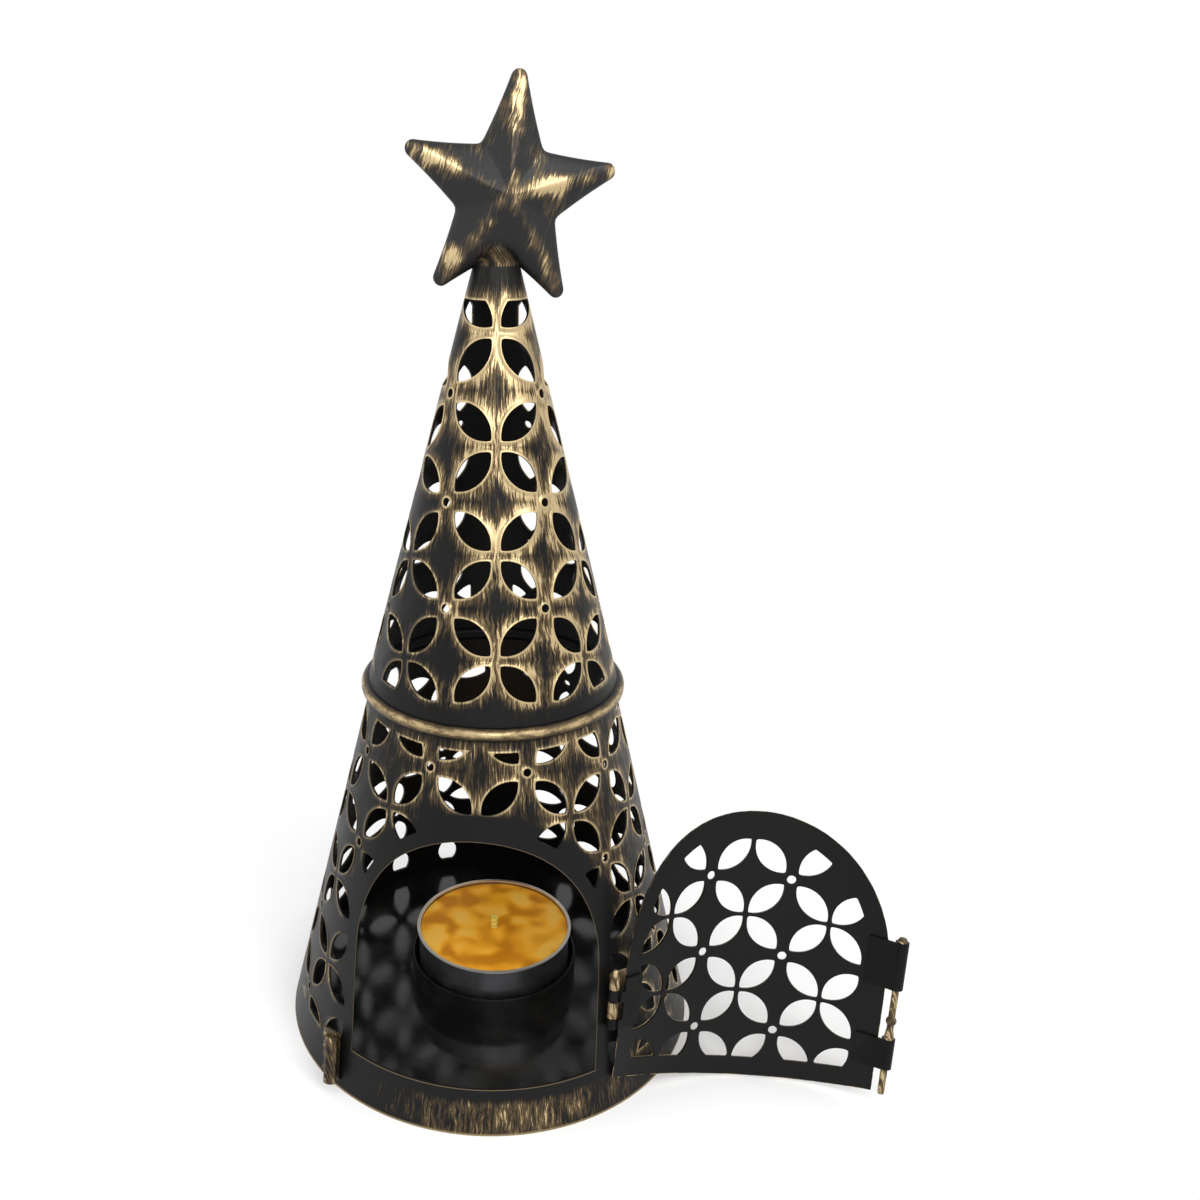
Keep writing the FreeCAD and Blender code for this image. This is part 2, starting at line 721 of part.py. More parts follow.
tealight_cup = stand_on_floor(turned_body("tealight_cup", [
    ("0", "0"),
    ("sizes.cup_radius - sizes.lip_width", "0"),
    ("sizes.cup_radius - sizes.lip_width", "sizes.cup_height - sizes.cup_wall"),
    ("sizes.cup_radius", "sizes.cup_height - sizes.cup_wall"),
    ("sizes.cup_radius", "sizes.cup_height"),
    ("sizes.cup_radius - sizes.lip_width - sizes.cup_wall", "sizes.cup_height"),
    ("sizes.cup_radius - sizes.lip_width - sizes.cup_wall", "sizes.cup_wall"),
    ("0", "sizes.cup_wall"),
]))

wick_tab = stand_on_floor(turned_body("wick_tab", [
    ("sizes.wick_radius + sizes.fit_gap", "sizes.cup_wall"),
    ("sizes.tab_radius", "sizes.cup_wall"),
    ("sizes.tab_radius", "sizes.cup_wall * 2"),
    ("sizes.wick_radius + sizes.fit_gap + sizes.cup_wall", "sizes.cup_wall * 2"),
    ("sizes.wick_radius + sizes.fit_gap + sizes.cup_wall", "sizes.tab_neck"),
    ("sizes.wick_radius + sizes.fit_gap", "sizes.tab_neck"),
]))

wax_top = "sizes.cup_height - sizes.wax_drop"
wax_side = "sizes.cup_radius - sizes.lip_width - sizes.cup_wall - sizes.fit_gap"
tab_side = "sizes.wick_radius + sizes.cup_wall + sizes.fit_gap * 2"

tealight_wax = stand_on_floor(turned_body("tealight_wax", [
    ("sizes.tab_radius + sizes.fit_gap", "sizes.cup_wall"),
    (wax_side, "sizes.cup_wall"),
    (wax_side, wax_top),
    ("sizes.wick_radius + sizes.fit_gap", wax_top),
    ("sizes.wick_radius + sizes.fit_gap", "sizes.tab_neck + sizes.fit_gap"),
    (tab_side, "sizes.tab_neck + sizes.fit_gap"),
    (tab_side, "sizes.cup_wall * 2 + sizes.fit_gap"),
    ("sizes.tab_radius + sizes.fit_gap", "sizes.cup_wall * 2 + sizes.fit_gap"),
]))

tealight_wick = stand_on_floor(turned_body("tealight_wick", [
    ("0", "sizes.cup_wall"),
    ("sizes.wick_radius", "sizes.cup_wall"),
    ("sizes.wick_radius", wax_top + " + sizes.wick_show"),
    ("0", wax_top + " + sizes.wick_show"),
]))


# The hinge line, and the swing from shut to open about it

hinge_across = door_right + size("hinge_beyond")
hinge_seat = lower.frame(foot_line(size("hinge_height"), hinge_across), hinge_across)
hinge_middle = hinge_seat.multVec(Vector(0, 0, size("hinge_rise")))
hinge_axis = hinge_seat.Rotation.multVec(Vector(
    math.tan(math.radians(size("hinge_skew"))), 1,
    math.tan(math.radians(size("hinge_lean"))))).normalize()
hinge_out = hinge_seat.Rotation.multVec(Vector(0, 0, 1))
hinge_out = (hinge_out - hinge_axis * hinge_out.dot(hinge_axis)).normalize()
hinge_right = hinge_out.cross(hinge_axis) * -1
hinge_turn = Rotation(hinge_right, hinge_axis, hinge_out, "XYZ")
open_swing = Placement(
    Vector(0, 0, 0), Rotation(hinge_axis, size("door_swing")), hinge_middle)

knuckles = [size("foot_knuckle"), size("second_knuckle"), size("third_knuckle"),
            size("head_knuckle")]
hinge_length = sum(knuckles) + size("knuckle_gap") * (len(knuckles) - 1)
bore_radius = size("pin_radius") + size("pin_play")
barrel_radius = bore_radius + size("knuckle_wall")


def knuckle_span(index):
    """Start and end of a knuckle along the hinge line, from its middle."""
    start = sum(knuckles[:index]) + size("knuckle_gap") * index - hinge_length / 2
    return start, start + knuckles[index]


def hinge_box(right, out, along):
    """Box given by three spans in the hinge's own directions."""
    corner = (hinge_middle + hinge_right * right[0] + hinge_out * out[0]
              + hinge_axis * along[0])
    box = Part.makeBox(right[1] - right[0], along[1] - along[0], out[1] - out[0])
    box.Placement = Placement(corner, hinge_turn)
    return box


def hinge_rod(radius, along):
    """Round rod on the hinge line."""
    start = hinge_middle + hinge_axis * along[0]
    return Part.makeCylinder(radius, along[1] - along[0], start, hinge_axis)


def plate(down, across, length, width, lifts):
    """Rectangle of sheet bent to the lower cone, between two lifts."""
    deep = size("overrun")
    block = Part.makeBox(width, length, 2 * deep)
    block.translate(Vector(-width / 2, -length / 2, -deep))
    block.Placement = lower.frame(down, across).multiply(block.Placement)
    return lower.skin(lifts[0], lifts[1]).common(block)


def hinge_leaf(side, owned, lifts):
    """Leaf with its knuckles, right of the hinge line (1) or left of it (-1)."""
    edge = barrel_radius + size("leaf_gap")
    skin = lower.skin(lifts[0], lifts[1])
    blank = lower.solid(lifts[0])
    deep = (-size("hinge_rise") - size("overrun"), 0)
    whole = (-hinge_length / 2, hinge_length / 2)
    leaf = hinge_box(sorted([side * edge, side * (edge + size("leaf_width"))]), deep, whole)
    leaf = leaf.common(skin)
    for index in owned:
        span = knuckle_span(index)
        inner = side * (barrel_radius - size("gauge"))
        strip = hinge_box(sorted([inner, side * (edge + size("gauge"))]), deep, span)
        web = hinge_box(sorted([inner, side * barrel_radius]), deep, span)
        leaf = leaf.fuse([strip.common(skin), web.cut(blank), hinge_rod(barrel_radius, span)])
    past = size("overrun")
    bore = hinge_rod(bore_radius, (-hinge_length / 2 - past, hinge_length / 2 + past))
    leaf = leaf.cut(bore)
    for index in range(len(knuckles)):
        if index not in owned:
            span = knuckle_span(index)
            room = (span[0] - size("knuckle_gap"), span[1] + size("knuckle_gap"))
            leaf = leaf.cut(hinge_rod(barrel_radius + size("knuckle_gap"), room))
    return leaf.removeSplitter()


body_leaf_lifts = (size("weld_gap"), size("gauge"))
door_leaf_lifts = (size("door_gap") - size("gauge"), size("door_gap") - size("weld_gap"))

body_hinge_leaf = feature("body_hinge_leaf", hinge_leaf(1, (1, 3), body_leaf_lifts))
door_hinge_leaf = feature(
    "door_hinge_leaf", hinge_leaf(-1, (0, 2), door_leaf_lifts), open_swing)

pin_span = (-hinge_length / 2 - size("pin_tail"), hinge_length / 2 + size("pin_head"))
pin_body = hinge_rod(size("pin_radius"), pin_span)
pin_ends = [edge for edge in pin_body.Edges if edge.Closed]
hinge_pin = feature(
    "hinge_pin", pin_body.makeFillet(size("pin_radius") * size("rounding_share"), pin_ends))


# Door panel

def door_shape():
    """Arched and punched door, shut over the doorway."""
    lifts = (size("door_gap"), size("door_gap") + size("gauge"))
    outline = arch_prism(door_arch_down, door_middle, door_half, door_foot, lifts[0])
    panel = lower.skin(lifts[0], lifts[1]).common(outline)
    low = door_foot / lower.cosine + size("door_margin")
    allowed = flat_arch(
        door_arch_down, door_middle, door_half - size("door_margin"), lower.slant(0))
    allowed = allowed.common(sector(
        door_arch_down - door_half, lower.slant(0) - low, math.pi * lower.sine, 0))
    pattern = Pattern(
        size("door_pitch"), size("door_petal_start"), size("door_petal_end"),
        size("door_petal_width"), size("door_dot_radius"))
    cutters = punches(lower, pattern, door_arch_down - size("door_first_row"), 0, allowed)
    return panel.cut(cutters)


door_panel = feature("door_panel", door_shape(), open_swing)


# Drop bolt, its two sleeves on the door and its catch on the cone

sleeve_bore = size("bolt_radius") + size("bolt_play")
sleeve_radius = sleeve_bore + size("sleeve_wall")
sleeve_high = arch_down - size("sleeve_high_rise")
sleeve_low = sill_down - size("sleeve_low_rise")
catch_top = sill_down - size("catch_rise")
bolt_top = sleeve_high - size("bolt_head")
bolt_tip = sill_down + size("bolt_below_sill")
bolt_across = -(door_left + size("bolt_beyond"))
bolt_high = lower.point(bolt_top, bolt_across, size("bolt_rise"))
bolt_low = lower.point(bolt_tip, bolt_across, size("bolt_rise"))
bolt_axis = (bolt_high - bolt_low).normalize()
bolt_length = (bolt_high - bolt_low).Length


def bolt_height(down):
    """Distance along the bolt from its tip to a place down the sheet."""
    share = (bolt_tip - down) / (bolt_tip - bolt_top)
    return bolt_length * share


def bolt_rod(radius, low_down, high_down):
    """Round rod on the bolt line between two places down the sheet."""
    low = bolt_height(low_down)
    start = bolt_low + bolt_axis * low
    return Part.makeCylinder(radius, bolt_height(high_down) - low, start, bolt_axis)


def sleeve(high, length):
    """Sleeve round the bolt, bent from one strip with its plate on the door."""
    low = high + length
    inner_edge = -(door_left - size("sleeve_reach"))
    middle = (inner_edge + bolt_across) / 2
    width = inner_edge - bolt_across
    strap = plate((high + low) / 2, middle, length, width, door_leaf_lifts)
    tube = bolt_rod(sleeve_radius, low, high)
    bore = bolt_rod(sleeve_bore, low + size("overrun"), high - size("overrun"))
    return strap.fuse(tube).cut(bore).removeSplitter()


upper_sleeve = feature(
    "upper_sleeve", sleeve(sleeve_high, size("sleeve_high_length")), open_swing)
lower_sleeve = feature(
    "lower_sleeve", sleeve(sleeve_low, size("sleeve_low_length")), open_swing)


def bolt_shape():
    """Bolt with a head above its sleeves, a stop bead and a pinched flat."""
    wire = bolt_rod(size("bolt_radius"), bolt_tip, bolt_top)
    ends = [edge for edge in wire.Edges if edge.Closed]
    wire = wire.makeFillet(size("bolt_radius") * size("rounding_share"), ends)
    head_low = bolt_height(sleeve_high) + size("weld_gap")
    head_at = bolt_low + bolt_axis * head_low
    head = Part.makeCone(
        size("bead_radius"), size("bolt_radius"), bolt_length - head_low, head_at, bolt_axis)
    under_sleeve = bolt_height(sleeve_high + size("sleeve_high_length"))
    bead_at = bolt_low + bolt_axis * (under_sleeve - size("bolt_lift") - size("bead_radius"))
    bead = Part.makeSphere(size("bead_radius"), bead_at)
    flat_low = bolt_height(sleeve_low) + size("weld_gap")
    flat = Part.makeCone(
        size("bead_radius"), size("bolt_radius"), size("bead_radius") * 2,
        bolt_low + bolt_axis * flat_low, bolt_axis)
    return wire.fuse([head, bead, flat]).removeSplitter()


latch_rod = feature("latch_rod", bolt_shape(), open_swing)


def catch_shape():
    """Catch on the cone: a flange and a hooked sleeve, slotted towards the doorway."""
    high = catch_top
    low = high + size("catch_length")
    bore_size = size("bolt_radius") + size("catch_play")
    outside = bore_size + size("gauge")
    left = bolt_across - outside - size("catch_flange")
    middle = (left + bolt_across) / 2
    flange = plate(
        (high + low) / 2, middle, size("catch_length"), bolt_across - left, body_leaf_lifts)
    tube = bolt_rod(outside, low, high).cut(lower.solid(size("weld_gap")))
    bore = bolt_rod(bore_size, low + size("overrun"), high - size("overrun"))
    centre = lower.frame((high + low) / 2, bolt_across)
    slot = Part.makeBox(outside * 2, size("catch_length") * 2, size("catch_slot"))
    slot.translate(Vector(0, -size("catch_length"), size("gauge")))
    slot.Placement = centre.multiply(slot.Placement)
    return flange.fuse(tube).cut(bore).cut(slot).removeSplitter()


latch_catch = feature("latch_catch", catch_shape())

# Checks and export

PARTS = [
    lower_cone, upper_cone, joint_ring, top_plug, star_front, star_back, floor_pan,
    candle_ring, body_hinge_leaf, hinge_pin, latch_catch, door_panel, door_hinge_leaf,
    upper_sleeve, lower_sleeve, latch_rod, tealight_cup, tealight_wax, tealight_wick,
    wick_tab,
]

doc.recompute()
for item in doc.Objects:
    if "Invalid" in item.State or "Error" in item.State:
        raise RuntimeError("%s did not build: %s" % (item.Label, item.State))
for part in PARTS:
    if part.Shape.isNull() or not part.Shape.isValid():
        raise RuntimeError("%s has no valid shape" % part.Label)
    if len(part.Shape.Solids) != 1:
        raise RuntimeError("%s has %d solids" % (part.Label, len(part.Shape.Solids)))

os.makedirs("parts", exist_ok=True)
for part in PARTS:
    part.Shape.exportStep("parts/%s.step" % part.Label)
print("hinge middle", hinge_middle, "axis", hinge_axis)
print("bolt axis after the swing", open_swing.Rotation.multVec(bolt_axis))
print("bolt tip after the swing", open_swing.multVec(bolt_low))
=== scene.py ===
import json
import math

import bmesh
import bpy
from bpy.props import FloatProperty, FloatVectorProperty, PointerProperty
from mathutils import Matrix, Vector


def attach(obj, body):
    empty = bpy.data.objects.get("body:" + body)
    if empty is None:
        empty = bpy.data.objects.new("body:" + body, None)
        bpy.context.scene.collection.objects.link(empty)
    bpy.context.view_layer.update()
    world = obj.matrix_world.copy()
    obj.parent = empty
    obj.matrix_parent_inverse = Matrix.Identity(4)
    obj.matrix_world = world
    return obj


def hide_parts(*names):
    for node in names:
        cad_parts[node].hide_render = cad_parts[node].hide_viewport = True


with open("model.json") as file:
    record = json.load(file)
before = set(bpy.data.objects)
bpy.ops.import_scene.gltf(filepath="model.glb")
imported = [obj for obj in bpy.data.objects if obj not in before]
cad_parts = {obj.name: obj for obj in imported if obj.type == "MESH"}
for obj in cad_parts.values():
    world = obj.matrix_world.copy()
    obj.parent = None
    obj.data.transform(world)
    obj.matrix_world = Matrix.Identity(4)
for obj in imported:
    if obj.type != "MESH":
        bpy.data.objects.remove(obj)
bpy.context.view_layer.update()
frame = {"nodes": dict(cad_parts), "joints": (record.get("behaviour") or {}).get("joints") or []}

bl_info = {
    "name": "Punched Tin Lantern",
    "version": (1, 0, 0),
    "blender": (4, 5, 0),
    "location": "View3D > Sidebar > Lantern",
    "description": "Finishes and small pieces of a punched tin tree lantern",
    "category": "Object",
}

MM = 0.001

# Sizes shared with the solids, in millimetres and degrees

GAUGE = 0.6
BASE_RADIUS = 49.45
LOWER_TOP = 85.31
LOWER_TOP_RADIUS = 26.7
JOINT_HEIGHT = 86.8
UPPER_BASE_RADIUS = 27.7
MOUTH_HEIGHT = 171.4
UPPER_TOP_RADIUS = 4.4
UPPER_TURN = 7.0
RING_RADIUS = 27.4
WIRE_RADIUS = 1.5
DOORWAY_HALF = 29.0
DOORWAY_SIDE = 26.8
SILL_HEIGHT = 10.6
LAP_LEFT = 2.5
LAP_RIGHT = 1.1
LAP_TOP = 4.7
LAP_FOOT = 2.26
DOOR_GAP = 0.8

# Punched lattice, in millimetres. A petal has its start and end from the middle of its
# flower, its width, and the radius of the dots between the flowers.

CONE_PETAL = (1.45, 11.7, 5.2, 0.85)
DOOR_PETAL = (0.6, 10.85, 5.2, 1.0)
LOWER_PITCH = 20.3
UPPER_PITCH = 20.45
DOOR_PITCH = 18.0
LOWER_FIRST_ROW = 2.1
UPPER_FIRST_ROW = 11.5
DOOR_FIRST_ROW = 6.65
HEAD_MARGIN = 2.6
BASE_MARGIN = 9.6
MOUTH_MARGIN = 5.9
UPPER_FOOT_MARGIN = 5.4
SEAM_MARGIN = 5.7
DOORWAY_MARGIN = 3.2
DOOR_MARGIN = 4.3
FAR_AWAY = 50.0

# Star, in millimetres and degrees

ARMS = 5
STAR_HEIGHT = 183.1
STAR_SHIFT = 1.9
STAR_TIP = 20.1
STAR_VALLEY = 9.55
STAR_DEPTH = 4.8
STAR_EDGE = 0.8
STAR_ARM_END = 1.5
STAR_WAIST = 0.15
STAR_ROLL = 5.6
STAR_TURN = 12.0
STAR_ALONG = 0.95
STAR_ASLANT = 0.31
STAR_SEAM_GAP = 0.01
STAR_LIP_SHARE = 0.985
STAR_RING_SHARE = 0.97
STAR_PEAK_SHARE = 0.9
STAR_SWELL = 0.9
SIDE_STEPS = 8
TIP_STEPS = 6
STAR_RINGS = 9

# Dry brush. A layer of strokes has its fineness across and down the sheet, the slice
# of the noise that it takes, its detail and its roughness.

WANDER_LAYER = (0.35, 0.35, 7.7, 2.0, 0.5)
BROAD_LAYER = (0.5, 0.16, 3.7, 2.0, 0.5)
PATCH_LAYER = (0.11, 0.085, 9.1, 2.0, 0.55)
HAIR_LAYER = (5.0, 0.42, 5.3, 2.0, 0.6)
FINE_LAYER = (2.6, 0.17, 0.3, 4.0, 0.68)
WANDER_WIDTH = 1.1
FINE_SHARE = 0.85
BROAD_SHARE = 0.3
PATCH_SHARE = 0.42
HAIR_SHARE = 0.38
AMOUNT_SHARE = 0.24
RAISED_SHARE = 0.26
THICK_FROM, THICK_TO = 1.2, 1.33
THIN_FROM, THIN_TO = 1.01, 1.23
STROKE_HEIGHT = 0.5

# Rims of the punched holes: distances from the cut edge in millimetres, and shares

RIM_START, RIM_REACH = 0.3, 3.4
RIM_LOSS = -0.2
UNCUT_FROM, UNCUT_TO = -0.5, -0.3
CREST_START, CREST_END = 0.1, 0.6
CREST_GOLD_SHARE = 0.95
CREST_BROWN_SHARE = 0.7
WORN_SHARE = 0.12
WORN_FROM, WORN_TO = 0.05, 0.85
LIP_END = 0.9
LIP_HEIGHT = 1.8
STROKE_RELIEF_SHARE = 0.35
SHEET_RELIEF = 0.5
FACE_START = -0.25
FACE_BLEND = 0.15
EDGE_BLEND = 0.2
DOOR_FACE_SHARE = 0.7

# Ramps over distances in millimetres: the two that a ramp runs between, and what it gives
# at them

DOORWAY_PLAIN = (5.4, 7.4, 1.0, 0.0)
DOORWAY_GILT = (0.02, 0.14, 0.22, 0.0)
DOOR_RIM_GILT = (-0.12, -0.03, 0.0, 0.85)
SILL_ASIDE = (8.0, 34.0, 1.0, 0.25)
# More gold towards the right of the lower cone: partly brushing, partly painted highlight on the
# side that the key lamp lights
LOWER_RIGHT_GILT_AND_HIGHLIGHT = (-36.0, 5.0, -0.3, 0.3)
LOWER_DOWN = (112.0, 145.0, 0.15, -0.05)
# More gold towards the right of the upper cone: partly brushing, partly painted highlight on the
# side that the key lamp lights
UPPER_RIGHT_GILT_AND_HIGHLIGHT = (-17.0, 4.0, -0.45, 0.4)
UPPER_DOWN = (35.0, 90.0, 0.35, -0.15)
UPPER_NECK = (20.0, 27.0, -0.5, 0.0)
STAR_RIDGE = (0.2, 2.8, 0.6, -0.35)
STAR_TIPS = (14.0, 20.0, 0.0, -0.25)
STAR_HOLLOW = (2.5, 9.0, -0.35, 0.1)

# Bands on the cones, each with its share: below the sill, in millimetres down from it and
# with its middle that far to the right, then at the base and above the ring, in heights

SILL_PLAIN, SILL_GOLD, SILL_BAND, SILL_GOLD_SHARE = 1.5, 1.0, 4.0, 0.68
SILL_MIDDLE = 4.0
BASE_GILT_FROM, BASE_GILT_TO, BASE_GILT_SHARE = 0.7, 0.1, 0.4
UPPER_PLAIN_FROM, UPPER_PLAIN_TO, UPPER_PLAIN_SHARE = 93.0, 90.5, 0.95

# Ramps over shares, most of them of a noise

DOOR_RIM_WEAR = (0.42, 0.62)
STAR_BLOTCH = (0.3, 0.7, -0.9, 0.6)
CLOUDS = (0.3, 0.7)
BLOOM = (0.42, 0.7)
RING_GOLD = (0.32, 0.62, 0.0, 0.8)
RING_BROWN = (-0.05, 0.42)
WAX_LIGHT = (0.33, 0.62)
# Where the wax gets pale glints: painted highlight
WAX_HIGHLIGHT_RAMP = (0.53, 0.70, 0.0, 0.85)
WICK_RIB = (-0.6, 0.8)

# Noises: scale, detail and roughness

WEAR_NOISE = (0.45, 2.0, 0.5)
STAR_NOISE = (0.16, 2.0, 0.5)
FITTING_NOISE = (1.6, 3.0, 0.6)
RING_NOISE = (1.2, 3.0, 0.6)
BREAK_NOISE = (1.0, 6.0, 0.78)
CLOUD_NOISE = (0.08, 4.0, 0.6)
RIPPLE_NOISE = (0.9, 3.0, 0.6)
CUP_NOISE = (0.3, 2.0, 0.5)
SWIRL_NOISE = (0.18, 0.5, 0.3)
WARP_SCALE, WARP_DETAIL = 0.1, 2.0

# How much the brush left: on the sheets added to the panel's setting, with the rims' part
# in it, and on the star by itself

LOWER_BRUSHING, LOWER_RIMS = -0.6, 0.4
UPPER_BRUSHING, UPPER_RIMS = -0.5, 0.75
DOOR_BRUSHING, DOOR_RIMS = -0.2, 0.6
STAR_BRUSHING = 0.25

# Ring wire: how far its gilt crest leans out and up, and how fine the breaks in it are
# round the ring and across the wire

CREST_OUT, CREST_UP, CREST_LEVEL, CREST_GAIN = 0.85, 0.35, 0.92, 1.3
BREAK_ROUND, BREAK_UP, BREAK_SLICE = 0.22, 0.9, 2.0

# Paint: shares of metal, roughness, and depths of relief in millimetres

THIN_METAL_SHARE = 0.55
THICK_METAL_SHARE = 0.92
BLACK_ROUGHNESS = 0.40
GOLD_ROUGHNESS = 0.34
GILT_SHINE = 0.16
STAR_SHINE = 0.4
FITTING_RELIEF = 0.18
RING_RELIEF = 0.2
STAR_RELIEF = 0.35
GILT_DEPTH = 0.3
BLACK_DEPTH = 0.2
BLOOM_COLOUR = (0.05, 0.047, 0.042, 1.0)
BLOOM_ROUGHNESS = 0.1
CUP_ROUGHNESS = (0.36, 0.42)
# The cup's aluminium in dark grey: painted shade for the shade inside the lantern; the paler
# grey varies it at random
CUP_PAINTED_SHADE = (0.20, 0.205, 0.215, 1.0)
CUP_PAINTED_SHADE_PALER = (0.25, 0.255, 0.265, 1.0)
# Pale warm colour at the cup's lip: painted highlight along its rim
CUP_LIP_HIGHLIGHT = (0.86, 0.80, 0.72, 1.0)
LIP_DEPTH = 0.5
# Colour of the glints on the wax: painted highlight
WAX_HIGHLIGHT_COLOUR = (1.0, 0.56, 0.08, 1.0)
WAX_WARP = (9.0, 6.0, 2.0)
WAX_SCATTER = (0.004, 0.0018, 0.0006)
WAX_SCATTER_SHARE = 0.15
WAX_ROUGHNESS, WAX_SHINE = 0.38, 0.25
WAX_RELIEF, WAX_DEPTH = 0.3, 0.5
WICK_ROUGHNESS = 0.6
WICK_RELIEF, WICK_DEPTH = 0.5, 0.2
TWIST_UP, TWIST_ROUND = 5.0, 2.0
WICK_DARK = (0.68, 0.50, 0.07, 1.0)
WICK_LIGHT = (0.80, 0.62, 0.12, 1.0)
WHITE = (1.0, 1.0, 1.0, 1.0)

# Camera, as fitted to the picture: pixels of the picture, and millimetres

PICTURE_SIDE = 1200
LENS_PIXELS = 1107.08
AIM_PIXEL = (492.36, 730.54)
CAMERA_PLACE = (22.60, -222.32, 188.10)
CAMERA_AIM = (0.0, 0.0, 73.79)
CAMERA_ROLL = 0.0088
SENSOR_WIDTH = 36.0
NEAREST_SEEN = 10.0

# Lamps and floor, in millimetres: each lamp's place, width and height

LAMPS = {
    "key": ((450, -420, 620), 350, 500),
    "fill": ((-600, -250, 350), 500, 500),
    "front": ((60, -620, 480), 300, 200),
}
LAMP_AIM = (0, 0, 90)
FLOOR_HALF = 2000
FLOOR_SHADOW = 75.0
FLOOR_ROUGHNESS = 0.9


class Cone:
    """A rolled sheet: the cone that its outer face lies on."""

    def __init__(self, low_height, low_radius, high_height, high_radius):
        slope = (low_radius - high_radius) / (high_height - low_height)
        self.tip = low_height + low_radius / slope
        self.cosine = 1 / math.hypot(1, slope)
        self.sine = slope * self.cosine
        self.middle = (self.slant(low_height) + self.slant(high_height)) / 2

    def slant(self, height):
        """Distance from the tip down the sheet to a height."""
        return (self.tip - height) / self.cosine


lower = Cone(0, BASE_RADIUS, JOINT_HEIGHT, LOWER_TOP_RADIUS)
upper = Cone(JOINT_HEIGHT, UPPER_BASE_RADIUS, MOUTH_HEIGHT, UPPER_TOP_RADIUS)
SILL_DOWN = lower.slant(SILL_HEIGHT)
ARCH_DOWN = SILL_DOWN - DOORWAY_SIDE
DOOR_HALF = DOORWAY_HALF + (LAP_LEFT + LAP_RIGHT) / 2
DOOR_MIDDLE = (LAP_RIGHT - LAP_LEFT) / 2
DOOR_ARCH_DOWN = ARCH_DOWN - DOORWAY_HALF - LAP_TOP + DOOR_HALF
DOOR_FOOT = lower.slant(SILL_HEIGHT - LAP_FOOT)
door_joint = next(joint for joint in frame["joints"] if joint["name"] == "door_hinge")


# Settings that a user would change

class LanternFinish(bpy.types.PropertyGroup):
    """Colours and amounts of the painted finish."""

    black: FloatVectorProperty(
        name="Black", description="Base coat of the tin", subtype="COLOR", size=3,
        min=0, max=1, default=(0.0045, 0.0043, 0.0042))
    gold: FloatVectorProperty(
        name="Gold", description="Colour brushed over the base coat", subtype="COLOR", size=3,
        min=0, max=1, default=(0.60, 0.46, 0.25))
    brown: FloatVectorProperty(
        name="Brown", description="Thin gold over black, where the brush was nearly dry",
        subtype="COLOR", size=3, min=0, max=1, default=(0.105, 0.072, 0.036))
    brushing: FloatProperty(
        name="Brushing", description="How much of the sheet the dry brush covered",
        subtype="FACTOR", min=0, max=1, default=0.5)
    wax: FloatVectorProperty(
        name="Wax", description="Light colour of the candle's wax", subtype="COLOR", size=3,
        min=0, max=1, default=(1.0, 0.45, 0.02))
    wax_dark: FloatVectorProperty(
        name="Dark wax", description="Dark swirls of the candle's wax", subtype="COLOR",
        size=3, min=0, max=1, default=(0.62, 0.22, 0.004))


class LanternStage(bpy.types.PropertyGroup):
    """Light and floor round the lantern."""

    key: FloatProperty(
        name="Key light", description="Power of the large lamp on the right", unit="POWER",
        min=0, default=2.2)
    fill: FloatProperty(
        name="Fill light", description="Power of the lamp on the left", unit="POWER",
        min=0, default=0.5)
    front: FloatProperty(
        name="Front light", description="Power of the lamp that shines in at the doorway",
        unit="POWER", min=0, default=1.4)
    sky: FloatProperty(
        name="Sky", description="Strength of the even light from all round",
        min=0, max=2, default=0.95)
    floor: FloatVectorProperty(
        name="Floor", description="Colour of the floor", subtype="COLOR", size=3,
        min=0, max=1, default=(0.93, 0.93, 0.93))


# Building shader trees

FLOAT = "NodeSocketFloat"
VECTOR = "NodeSocketVector"
COLOUR = "NodeSocketColor"


